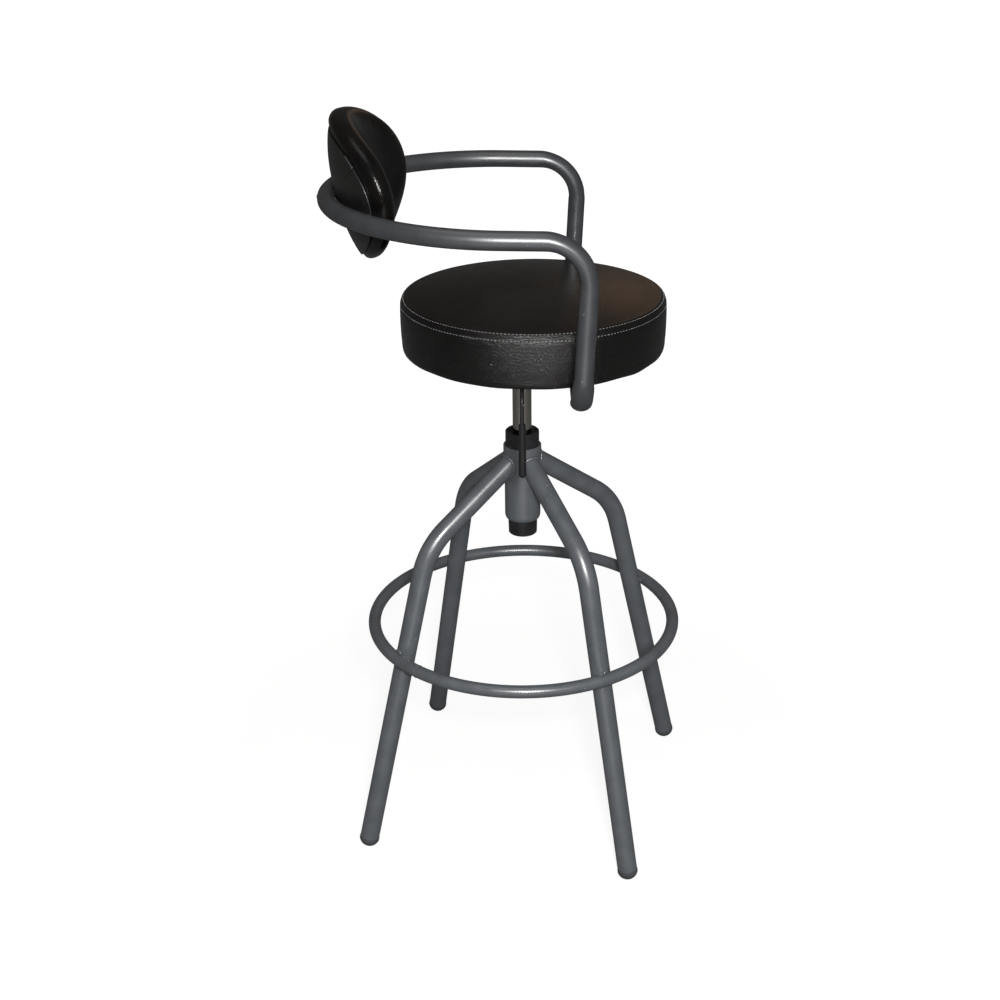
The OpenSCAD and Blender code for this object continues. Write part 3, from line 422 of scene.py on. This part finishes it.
def steel(name, color, rough, stretch):
    """Bare or plated metal, with the fine lines that its grinding left drawn out by stretch."""
    made, tree, shader, place = surface(name)
    shader.inputs["Metallic"].default_value = 1
    lay = add(tree, "ShaderNodeMapping", Scale=stretch)
    link(tree, place, "Object", lay, "Vector")
    lines = add(tree, "ShaderNodeTexNoise", Scale=60, Detail=3)
    link(tree, lay, "Vector", lines, "Vector")
    line_tone = tuple(c * line_shade for c in color)
    tone = two_tones(tree, lines, "Fac", line_tone, color, start=0.35, end=0.65)
    link(tree, tone, "Color", shader, "Base Color")
    gloss = between(tree, lines, "Fac", rough * 0.8, rough * 1.25, start=0.3, end=0.7)
    link(tree, gloss, "Result", shader, "Roughness")
    relief(tree, lines, "Fac", shader, depth=0.00002, strength=0.3)
    return made


column_black = powder_coat("column_coat", dark=(0.010, 0.010, 0.011), light=(0.017, 0.017, 0.019),
                           rough_low=0.3, rough_high=0.42, gloss=0.3)
cylinder_steel = steel("cylinder_steel", (0.5, 0.475, 0.437), rough=0.16, stretch=(9, 9, 0.6))
bright_steel = steel("bright_steel", (0.6, 0.6, 0.6), rough=0.25, stretch=(1, 1, 30))
moulded = powder_coat("moulded_black", dark=(0.0085, 0.0085, 0.0092), light=(0.0125, 0.0125, 0.0132),
                      rough_low=0.34, rough_high=0.42, gloss=0.3, chipped=0)
finish_nodes(column_black, "column_tube")
finish_nodes(cylinder_steel, "gas_cylinder")
finish_nodes(bright_steel, "bearing_race_lower", "bearing_balls", "bearing_race_upper", "piston_rod",
             "piston_head", "rod_washer", "rod_clip", "release_pin")
finish_nodes(moulded, "guide_bush", "bearing_cage", "rubber_bumper", "rod_seal")


# Seat plate
# A plate pressed from black-painted steel sheet takes the cylinder's taper in its welded
# socket, and four plated bolts hold it up against the seat's board.
zinc = steel("zinc_plating", (0.55, 0.56, 0.58), rough=0.35, stretch=(4, 4, 4))
finish_nodes(column_black, "seat_plate", "taper_socket")
finish_nodes(zinc, "plate_bolts")


# Release lever
# One black steel rod, bent and flattened at its tail, rocks on a pin in its bracket under
# the plate and presses the cylinder's release pin. A moulded grip is pushed on its end.
finish_nodes(column_black, "lever_rod")
finish_nodes(bright_steel, "lever_bracket", "lever_pin")
finish_nodes(moulded, "lever_grip")


# Boards
# The seat and the backrest are each built on a board of plywood, flat in the seat and
# moulded to a curve in the back, with steel tee nuts knocked into it for the bolts.
wood_dark, wood_light = (0.36, 0.22, 0.11), (0.56, 0.39, 0.22)


def plywood_surface():
    """Pale wood, its grain drawn out along the board."""
    made, tree, shader, place = surface("plywood")
    lay = add(tree, "ShaderNodeMapping", Scale=(1.5, 14, 40))
    link(tree, place, "Object", lay, "Vector")
    grain = add(tree, "ShaderNodeTexNoise", Scale=12, Detail=6, Distortion=0.8)
    link(tree, lay, "Vector", grain, "Vector")
    tone = two_tones(tree, grain, "Fac", wood_dark, wood_light, start=0.3, end=0.7)
    link(tree, tone, "Color", shader, "Base Color")
    rough = between(tree, grain, "Fac", low=0.55, high=0.75)
    link(tree, rough, "Result", shader, "Roughness")
    relief(tree, grain, "Fac", shader, depth=0.0002, strength=0.4)
    return made


finish_nodes(plywood_surface(), "seat_board", "back_board")
finish_nodes(bright_steel, "seat_nuts", "back_nuts")


# Seat cushion
# A round of foam on the board, under a cover sewn from a top and a side band of glossy
# black vinyl. The band's lower edge is pulled round the board and stapled beneath.
vinyl_dark, vinyl_light = (0.0022, 0.002, 0.0019), (0.0042, 0.0038, 0.0035)


def vinyl_surface(name, gloss, grain_top, grain_side):
    """Glossy black vinyl. Its grain opens where the cover is pulled round an upright side."""
    made, tree, shader, place = surface(name)
    shader.inputs["Specular IOR Level"].default_value = gloss
    cloud = speckle(tree, place, scale=30, detail=4)
    tone = two_tones(tree, cloud, "Fac", vinyl_dark, vinyl_light, start=0.3, end=0.7)
    link(tree, tone, "Color", shader, "Base Color")
    rough = between(tree, cloud, "Fac", low=0.176, high=0.224, start=0.3, end=0.7)
    link(tree, rough, "Result", shader, "Roughness")
    cells = add(tree, "ShaderNodeTexVoronoi", Scale=640, feature="DISTANCE_TO_EDGE")
    link(tree, place, "Object", cells, "Vector")
    pebble = relief(tree, cells, "Distance", shader, depth=0.00018, strength=0.4)
    facing = add(tree, "ShaderNodeNewGeometry")
    split = add(tree, "ShaderNodeSeparateXYZ")
    link(tree, facing, "Normal", split, 0)
    opened = between(tree, split, "Z", low=grain_side, high=grain_top, start=0.35, end=0.9)
    crackle = speckle(tree, place, scale=360, detail=4, roughness=0.62)
    grain = relief(tree, crackle, "Fac", shader, depth=0.0016, below=pebble)
    link(tree, opened, "Result", grain, "Strength")
    folds = speckle(tree, place, scale=55, detail=2)
    relief(tree, folds, "Fac", shader, depth=0.0016, strength=0.12, below=grain)
    return made


def ring_mesh(name, rings, start_tip, end_tip):
    """A closed skin over rings of points, with a fan to one point at each end."""
    points = [p for ring in rings for p in ring]
    n = len(rings[0])
    faces = []
    for i in range(len(rings) - 1):
        for j in range(n):
            k = (j + 1) % n
            faces.append((n * i + j, n * i + k, n * (i + 1) + k, n * (i + 1) + j))
    last = n * (len(rings) - 1)
    faces += [(len(points), (j + 1) % n, j) for j in range(n)]
    faces += [(len(points) + 1, last + j, last + (j + 1) % n) for j in range(n)]
    return skin(name, points + [start_tip, end_tip], faces)


def swollen(mesh, held, most, voxel=0.005, pressure=4, frames=20, neighbours=14):
    """The shift of any point of a closed skin when the foam pushes it out. The cloth is run on an
    evenly meshed copy, held where the cover is stapled or sewn, and no point moves further than
    most(point)."""
    blown = bpy.data.objects.new("swelling", mesh.copy())
    scene.collection.objects.link(blown)
    even = blown.modifiers.new("even", "REMESH")
    even.mode = "VOXEL"
    even.voxel_size = voxel
    flat = bpy.data.meshes.new_from_object(blown.evaluated_get(bpy.context.evaluated_depsgraph_get()))
    blown.modifiers.clear()
    blown.data = flat
    rest = [v.co.copy() for v in flat.vertices]
    grip = blown.vertex_groups.new(name="held")
    for i, at in enumerate(rest):
        grip.add([i], held(at), "REPLACE")
    cloth = blown.modifiers.new("cloth", "CLOTH")
    cloth.settings.use_pressure = True
    cloth.settings.uniform_pressure_force = pressure
    cloth.settings.effector_weights.gravity = 0
    cloth.settings.vertex_group_mass = "held"
    cloth.point_cache.frame_end = frames
    for step in range(1, frames + 1):
        scene.frame_set(step)
    full = blown.evaluated_get(bpy.context.evaluated_depsgraph_get()).data
    shifts = [v.co - at for v, at in zip(full.vertices, rest)]
    nearest = kdtree.KDTree(len(rest))
    for i, at in enumerate(rest):
        nearest.insert(at, i)
    nearest.balance()
    scene.frame_set(1)
    bpy.data.objects.remove(blown)
    bpy.data.meshes.remove(flat)

    def shift(at):
        total, weight = Vector((0, 0, 0)), 0.0
        for _, i, distance in nearest.find_n(at, neighbours):
            near = 1 / (distance + voxel) ** 2
            total += shifts[i] * near
            weight += near
        total /= weight
        limit = most(at)
        return total.normalized() * limit * math.tanh(total.length / limit) if total.length else total

    return shift


seat_r, seat_side = 188.3, 74
seat_z = 756
seat_fore = 17
seat_turns = 256
top_crown = 10
seam_z, staple_z = 70, 8
seam_from, seam_reach = 180, 8
seam_r, seam_mid, seam_flat, seam_fade = 187, 69, 7, 16
top_swell, side_swell = 4, 1.1
hem_top, hem_tall = 26, 24
hem_from, hem_wide = 172, 8
hem_edge, hem_in = 2, 0.6
fold_turn, fold_wide, fold_deep = 229, 6, 1.4
upper_groove, lower_groove = (184.8, 73.3), (188.5, 65)
profile = [(x, seat_side + top_crown * (1 - (x / seat_r) ** 2))
           for x in (8, 24, 44, 66, 88, 108, 126, 142, 155, 165, 172, 177, 180)]
profile += [(182.4, 74.7), (183.7, 74.3), (184.5, 73.9), upper_groove, (185.5, 73.3), (186.5, 72.3)]
profile += [(187.3, 71), (187.5, 69.9), (187.1, 69.2), (187.7, 68.6), (188.3, 67.7), (188.8, 66.6)]
profile += [(188.9, 65.7), lower_groove, (189.1, 64.2), (189.4, 58), (189.5, 52), (189.5, 45), (189.4, 36)]
profile += [(189.2, 27), (188.9, 19), (188.3, 13), (188.2, 8), (187.9, 4), (187.3, 1), (186.3, -1)]
profile += [(184.6, -2.4), (181.8, -3.2), (178, -3.3), (173, -2.6), (169, -1.7), (165.5, -1.3)]
profile += [(164.4, -1), (164.2, 1), (160, 4)]


def hem_wave(a):
    """The cover's lower edge isn't pulled quite evenly over the board, and it has one fold."""
    fold = math.exp(-((math.degrees(a) - fold_turn) / fold_wide) ** 2)
    waves = 0.35 * math.sin(3 * a + 1) + 0.3 * math.sin(8 * a + 2) + 0.2 * math.sin(17 * a)
    return waves - hem_in - fold_deep * fold


def on_seat(r, z, a):
    """A point of the cushion, from the radius, the height over the seat's base and the angle."""
    low = limited((hem_top - z) / hem_tall) * limited((r - hem_from) / hem_wide)
    return Vector((r * math.cos(a), r * math.sin(a) - seat_fore, seat_z + z + hem_wave(a) * low)) * mm


def seat_held(at):
    """The cover is held along its seam and where it is stapled."""
    z = at.z / mm - seat_z
    at_seam = math.hypot(at.x, at.y + seat_fore * mm) > seam_from * mm and abs(z - seam_z) < seam_reach
    return 1.0 if z < staple_z or at_seam else 0.0


def seat_most(at):
    """The top is free to swell, and the side band hardly is."""
    return (top_swell if at.z > (seat_z + seam_z) * mm else side_swell) * mm


def free_share(r, z):
    """How much of the swelling is kept: nothing at the hem, and little beside the seam."""
    from_seam = math.hypot(r - seam_r, z - seam_mid)
    return limited((from_seam - seam_flat) / seam_fade) if z > hem_edge else 0


seat_vinyl = vinyl_surface("seat_vinyl", gloss=0.45, grain_top=0.16, grain_side=0.9)
seat_rings = [[on_seat(r, z, 2 * math.pi * j / seat_turns) for j in range(seat_turns)] for r, z in profile]
seat_top = Vector((0, -seat_fore, seat_z + seat_side + top_crown)) * mm
seat_foot = Vector((0, -seat_fore, seat_z + profile[-1][1])) * mm
seat_start = ring_mesh("seat_start", seat_rings, seat_top, seat_foot)
seat_shift = swollen(seat_start, seat_held, seat_most)
seat_rings = [
    [at + seat_shift(at) * free_share(r, z) for at in ring] for ring, (r, z) in zip(seat_rings, profile)
]
seat_mesh = ring_mesh("seat_cushion", seat_rings, seat_top + seat_shift(seat_top), seat_foot)
seat_cushion = new_object("seat_cushion", seat_mesh, seat_vinyl, "seat")
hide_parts("seat_cover", "seat_foam")


# Seat stitching
# Two rows of grey thread run round the seat, one on the top panel and one on the side
# band, and hold down the seam between them.
stitch_pitch, stitch_long, stitch_thick = 5.2, 2.5, 1.05
stitch_sides = 6
stitch_shape = [(-0.5, 0.25), (-0.42, 0.75), (-0.2, 1), (0.2, 1), (0.42, 0.75), (0.5, 0.25)]
stitch_arch, stitch_flat = 0.3, 0.8
stitch_rows = [("upper", upper_groove, math.radians(68)), ("lower", lower_groove, math.radians(4))]


def thread_surface():
    """Grey thread, its twist a fine mottle."""
    made, tree, shader, place = surface("grey_thread")
    twist = speckle(tree, place, scale=1500, detail=1)
    tone = two_tones(tree, twist, "Fac", (0.17, 0.17, 0.18), (0.32, 0.32, 0.33))
    link(tree, tone, "Color", shader, "Base Color")
    shader.inputs["Roughness"].default_value = 0.55
    relief(tree, twist, "Fac", shader, depth=0.0001, strength=0.5)
    return made


def stitch_row(points, normals, length, thick):
    """Short capsules laid along a closed line, each one half sunk in the cover."""
    made = bmesh.new()
    for at, normal, ahead in zip(points, normals, points[1:] + points[:1]):
        along = (ahead - at).normalized()
        side = normal.cross(along).normalized()
        rings = []
        for share, width in stitch_shape:
            arch = stitch_arch * (1 - (2 * share) ** 2)
            centre = at + along * (length * share) + normal * (thick * arch)
            half = thick / 2 * width
            rings.append([
                made.verts.new(centre + (side * math.cos(a) + normal * stitch_flat * math.sin(a)) * half)
                for a in (2 * math.pi * k / stitch_sides for k in range(stitch_sides))
            ])
        for a, b in zip(rings, rings[1:]):
            for k in range(stitch_sides):
                ahead_k = (k + 1) % stitch_sides
                made.faces.new((a[k], a[ahead_k], b[ahead_k], b[k]))
        made.faces.new(rings[0])
        made.faces.new(rings[-1])
    bmesh.ops.recalc_face_normals(made, faces=made.faces)
    mesh = bpy.data.meshes.new("stitches")
    made.to_mesh(mesh)
    made.free()
    return mesh


def evenly(ring, pitch):
    """Points at one spacing along a closed line."""
    run = [0.0]
    for a, b in zip(ring, ring[1:] + ring[:1]):
        run.append(run[-1] + (b - a).length)
    count = round(run[-1] / pitch)
    points, i = [], 0
    for k in range(count):
        along = run[-1] * k / count
        while run[i + 1] < along:
            i += 1
        share = (along - run[i]) / (run[i + 1] - run[i])
        points.append(ring[i].lerp(ring[(i + 1) % len(ring)], share))
    return points


thread = thread_surface()
for name, groove, tip in stitch_rows:
    points = evenly(seat_rings[profile.index(groove)], stitch_pitch * mm)
    normals = []
    for at in points:
        level = Vector((at.x, at.y + seat_fore * mm, 0)).normalized()
        normals.append(level * math.cos(tip) + Vector((0, 0, math.sin(tip))))
    sewn = stitch_row(points, normals, stitch_long * mm, stitch_thick * mm)
    new_object("seat_stitches_" + name, sewn, thread, "seat")


# Arm hoop
# One length of 25 mm steel tube, sprayed dark grey, is bent twice on each side and rolled
# round the back, a little flat in the tight bends. Brackets under the seat hold its ends.
# Its coat is painted darker than the legs' charcoal, as painted shade.
hoop_half, hoop_r = 242.5, 12.7
run_in, run_z, post_fore = 84, 739.9, 77.7
arm_z, arm_rise = 969, math.radians(1.1)
post_lean = math.radians(2.9)
arm_fore = post_fore + (arm_z - run_z) * math.tan(post_lean)
arc_back = 25
arc_z = arm_z + (arc_back + arm_fore) * math.tan(arm_rise)
arc_oval, arc_ease = 0.015, 10
inner_share = 0.75
elbow, nip_at, nip = 2, 2, 0.5
straight_step, bend_steps, arc_steps = 4, 28, 60
# Each corner's place, the radius of its bend, and how flat the bender leaves the tube.
corners = [
    (Vector((run_in, -post_fore, run_z)), 0, 0),
    (Vector((hoop_half, -post_fore, run_z)), 50, 0.155),
    (Vector((hoop_half, -arm_fore, arm_z)), 58, 0.075),
    (Vector((hoop_half, arc_back, arc_z)), 0, 0),
]
path, squeeze, towards, pinch = [], [], [], []


def put(at, oval, centre, mark):
    """One point of the hoop, with how flat it is there, the bend's centre and the bender's nip."""
    path.append(at)
    squeeze.append(oval)
    towards.append(centre)
    pinch.append(mark)


def kink(i, here):
    """The elbow's inner side is nipped where the bender let go of the post."""
    return math.exp(-(i - nip_at) ** 2 / 2) if here == elbow else 0


start = corners[0][0]
for here, (corner, bend_r, oval) in enumerate(corners[1:], 1):
    came = (corner - corners[here - 1][0]).normalized()
    stop = corner
    if bend_r:
        leaves = (corners[here + 1][0] - corner).normalized()
        angle = came.angle(leaves)
        stop = corner - came * (bend_r * math.tan(angle / 2))
    count = max(2, round((stop - start).length / straight_step))
    for i in range(1 if path else 0, count):
        put(start.lerp(stop, i / count), 0, None, 0)
    if bend_r:
        inward = (leaves - came * leaves.dot(came)).normalized()
        centre = stop + inward * bend_r
        for i in range(bend_steps + 1):
            a = angle * i / bend_steps
            at = centre + (-inward * math.cos(a) + came * math.sin(a)) * bend_r
            ease = min(1, 4 * min(i, bend_steps - i) / bend_steps)
            put(at, oval * ease * ease * (3 - 2 * ease), (centre - at).normalized(), kink(i, here))
        start = at
arc_centre = Vector((0, arc_back, arc_z))
for i in range(arc_steps + 1):
    a = math.pi / 2 * i / arc_steps
    back = hoop_half * math.sin(a)
    at = arc_centre + Vector((hoop_half * math.cos(a), back * math.cos(arm_rise), back * math.sin(arm_rise)))
    put(at, arc_oval * min(1, i / arc_ease), (arc_centre - at).normalized(), 0)
for i in range(len(path)):
    if towards[i] is None:
        towards[i] = next(inward for inward in towards[i:] if inward is not None)
flip = Vector((-1, 1, 1))
path += [at * flip for at in reversed(path[:-1])]
squeeze += list(reversed(squeeze[:-1]))
pinch += list(reversed(pinch[:-1]))
towards += [inward * flip for inward in reversed(towards[:-1])]


def hoop_section(i):
    """A flattened tube is narrower towards the bend's centre and a little wider across it."""
    narrow = hoop_r * (1 - inner_share * squeeze[i]) - nip * pinch[i]
    return narrow * mm, hoop_r * (1 + squeeze[i]) * mm, towards[i]


# Painted shade: this coat is a darker copy of the legs' charcoal coat, so that the hoop reads darker than
# the legs.
shaded_arm_coat = powder_coat("shaded_arm_coat", dark=(0.027, 0.0297, 0.0335), light=(0.035, 0.038, 0.0425),
                       rough_low=0.35, rough_high=0.41, gloss=1.0)
hoop_mesh = tube_mesh("arm_tube", [at * mm for at in path], hoop_section, sides=40)
arm_tube = new_object("arm_tube", hoop_mesh, shaded_arm_coat, "seat")
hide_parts("arm_hoop")
finish_nodes(column_black, "arm_bracket_right", "arm_bracket_left")
finish_nodes(zinc, "arm_bolts", "bolt_washers")
finish_nodes(moulded, "hoop_plugs")


# Back cushion
# A foam pad on a curved board, covered in glossy black vinyl: a slightly crowned front
# that falls away softly to a fat edge, whose hem is pulled over the board's back.
recline = math.radians(12)
pad_half, pad_rise, pad_up = 151, 103, 6
pad_in = 42
rim_r = hoop_half - pad_in
pad_front, pad_rear = 22.8, 12.5
pad_crown = 3
fall_from, fall_power, edge_power = 0.66, 3, 2.4
rear_roll = 0.115
pad_swell = 1.4
staple_band = 3
pad_turns = 200
arm_length = (arc_back + arm_fore) / math.cos(arm_rise)
apex_z = arm_z + (arm_length + hoop_half) * math.sin(arm_rise)
apex = Vector((0, arc_back + hoop_half * math.cos(arm_rise), apex_z))
lean_back = Matrix.Rotation(-recline, 3, "X")


def on_back(around, up, radius):
    """A point of the backrest, from the distance round its curve, the height and the radius."""
    a = around / rim_r
    at = Vector((radius * math.sin(a), radius * math.cos(a) - hoop_half, up + pad_up))
    return (apex + lean_back @ at) * mm


def oval_ring(share, radius, half, rise, drop=0):
    """An oval on the backrest's curve, at a share of its full size."""
    turns = [2 * math.pi * j / pad_turns for j in range(pad_turns)]
    return [on_back(half * share * math.cos(a), rise * share * math.sin(a) - drop, radius) for a in turns]


def pad_ring(share, radius):
    return oval_ring(share, radius, pad_half, pad_rise)


def pad_depth(share):
    """How far the front stands out from the widest line, from 0 at the rim to pad_front."""
    fall = max(0, (share - fall_from) / (1 - fall_from))
    return pad_front * (1 - fall ** fall_power) ** (1 / edge_power)


def pad_held(at):
    """The cover is held where it is stapled to the back of the board."""
    local = lean_back.transposed() @ (at / mm - apex)
    return 1.0 if math.hypot(local.x, local.y + hoop_half) > rim_r + pad_rear - staple_band else 0.0


front_shares = [0.06, 0.13, 0.21, 0.29, 0.37, 0.45, 0.53, 0.6, 0.66, 0.72, 0.77, 0.81, 0.84]
for height in (0.9, 0.86, 0.8, 0.74, 0.67, 0.59, 0.51, 0.43, 0.35, 0.27, 0.19, 0.11, 0.04, 0):
    front_shares.append(fall_from + (1 - fall_from) * (1 - height ** edge_power) ** (1 / fall_power))
pad_rings = [
    pad_ring(k, rim_r - pad_depth(k) - pad_crown * max(0, 1 - k * k) ** 2) for k in front_shares
]
for a in (8, 16, 24, 32, 40, 48, 56, 64, 72, 81, 90):
    a = math.radians(a)
    pad_rings.append(pad_ring(1 - rear_roll * (1 - math.cos(a)), rim_r + pad_rear * math.sin(a)))
held_from = len(pad_rings) - 1
for inset, sunk in ((19, 0), (24, 0), (29, 0), (30, 0.8)):
    pad_rings.append(oval_ring(1, rim_r + pad_rear - sunk, pad_half - inset, pad_rise - inset))
pad_middle = on_back(0, 0, rim_r - pad_front - pad_crown)
pad_foot = on_back(0, 0, rim_r + pad_rear - 1)
pad_start = ring_mesh("pad_start", pad_rings, pad_middle, pad_foot)
pad_shift = swollen(pad_start, pad_held, lambda at: pad_swell * mm)
pad_rings = [
    [at + pad_shift(at) for at in ring] if i < held_from else ring for i, ring in enumerate(pad_rings)
]
back_mesh = ring_mesh("back_cushion", pad_rings, pad_middle + pad_shift(pad_middle), pad_foot)
back_vinyl = vinyl_surface("back_vinyl", gloss=0.25, grain_top=0.15, grain_side=0.2)
back_cushion = new_object("back_cushion", back_mesh, back_vinyl, "seat")
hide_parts("back_cover", "back_foam")


# Back shell
# A thin bowl moulded in black plastic closes the back of the pad, with a rounded lip
# all round. The two screws of the backrest pass through it.
shell_half, shell_rise, shell_drop = pad_half - 20, pad_rise - 14, 5
shell_sunk = 0.4
shell_edge_r = rim_r + pad_rear - shell_sunk
shell_lip, shell_bulge, shell_fall, shell_wall = 3.4, 16.6, 2.5, 2.4
lip_round, lip_steps = 1.0, 9


def shell_ring(share, radius, inset=0):
    """An oval of the bowl, hung a little lower than the pad's."""
    return oval_ring(share, radius, shell_half - inset, shell_rise - inset, shell_drop)


def shell_r(share):
    """The bowl's outer side bulges from its lip to the middle."""
    return shell_edge_r + shell_lip + (shell_bulge - shell_lip) * (1 - share ** shell_fall)


shares = [0.06 + 0.9 * i / 17 for i in range(18)]
shell_rings = [shell_ring(k, shell_r(k)) for k in shares]
for i in range(lip_steps + 1):
    a = math.pi / 2 * (1 - i / lip_steps)
    lip_r = shell_edge_r + shell_lip - lip_round * (1 - math.sin(a))
    shell_rings.append(shell_ring(1, lip_r, lip_round * (1 - math.cos(a))))
shell_rings.append(shell_ring(1, shell_edge_r, 0.3))
shell_rings.append(shell_ring(1, shell_edge_r, shell_wall))
shell_rings += [shell_ring(k, shell_r(k) - shell_wall, shell_wall) for k in reversed(shares[::2])]
shell_middle = on_back(0, -shell_drop, shell_r(0))
shell_inner = on_back(0, -shell_drop, shell_r(0) - shell_wall)
shell_plastic = powder_coat("shell_plastic", dark=(0.0045, 0.0044, 0.0042), light=(0.007, 0.0069, 0.0066),
                            rough_low=0.33, rough_high=0.39, gloss=0.8, chipped=0)
shell_mesh = ring_mesh("back_bowl", shell_rings, shell_middle, shell_inner)
back_bowl = new_object("back_bowl", shell_mesh, shell_plastic, "seat")
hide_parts("back_shell")


# Plate on the shell
# A small raised plate, left bare, near the shell's edge on the stool's right. It is
# moulded in one with the shell.
plate_corners = [(-62, 51), (-97, 60), (-115, 42), (-94, 29)]
plate_steps = 14
plate_rise, plate_root = 1.2, 3.4
corner_power = 7


def plate_at(u, v, rise):
    """A point of the plate, with u and v from -1 to 1 across it."""
    weights = [(1 + i * u) * (1 + k * v) / 4 for i, k in ((-1, -1), (1, -1), (1, 1), (-1, 1))]
    around = sum(w * c[0] for w, c in zip(weights, plate_corners))
    up = sum(w * c[1] for w, c in zip(weights, plate_corners))
    share = min(1, math.hypot(around / shell_half, (up + shell_drop) / shell_rise))
    return on_back(around, up, shell_r(share) + rise)


def plate_ring(size, rise):
    """A ring with rounded corners, at a share of the plate's size."""
    ring = []
    for j in range(4 * plate_steps):
        a = 2 * math.pi * (j + 0.5) / (4 * plate_steps)
        reach = (abs(math.cos(a)) ** corner_power + abs(math.sin(a)) ** corner_power) ** (-1 / corner_power)
        ring.append(plate_at(size * reach * math.cos(a), size * reach * math.sin(a), rise))
    return ring


plate_rings = [plate_ring(k, plate_rise) for k in (0.15, 0.35, 0.55, 0.75, 0.9, 0.95)]
plate_rings += [plate_ring(0.98, plate_rise - 0.25), plate_ring(1, plate_rise - 0.8)]
plate_rings += [plate_ring(k, -plate_root) for k in (1, 0.7, 0.35)]
plate_mesh = ring_mesh("bare_plate", plate_rings, plate_at(0, 0, plate_rise), plate_at(0, 0, -plate_root))
new_object("bare_plate", plate_mesh, shell_plastic, "seat")


# Screws in the hoop
# Two raised countersunk steel screws, sunk in the back of the hoop's tube, pass through
# it and two moulded spacers into the backrest's board, and hold the backrest.
screw_span, screw_drop = 17, 0.6
screw_outline = [(1.3, 11.9), (1.5, 12.9), (2.4, 13.0), (3.4, 12.85), (4.3, 12.5), (4.7, 12.1), (4.7, 10.5)]
screw_turns = 24


def on_screw(side, r, a, out):
    """A point of a screw's head, from its radius, its turn and how far it is behind the hoop's line."""
    at = Vector((side * screw_span + r * math.cos(a), out - screw_drop, r * math.sin(a)))
    return (apex + lean_back @ at) * mm


finish_nodes(moulded, "back_spacers")
made = bmesh.new()
for side in (-1, 1):
    turns = [2 * math.pi * k / screw_turns for k in range(screw_turns)]
    rings = [[on_screw(side, r, a, out) for a in turns] for r, out in screw_outline]
    recess, root = (on_screw(side, 0, 0, screw_outline[end][1]) for end in (0, -1))
    made.from_mesh(ring_mesh("screw_head", rings, recess, root))
screws_mesh = bpy.data.meshes.new("hoop_screws")
made.to_mesh(screws_mesh)
made.free()
hoop_screws = new_object("hoop_screws", screws_mesh, bright_steel, "seat")
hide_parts("back_screws")
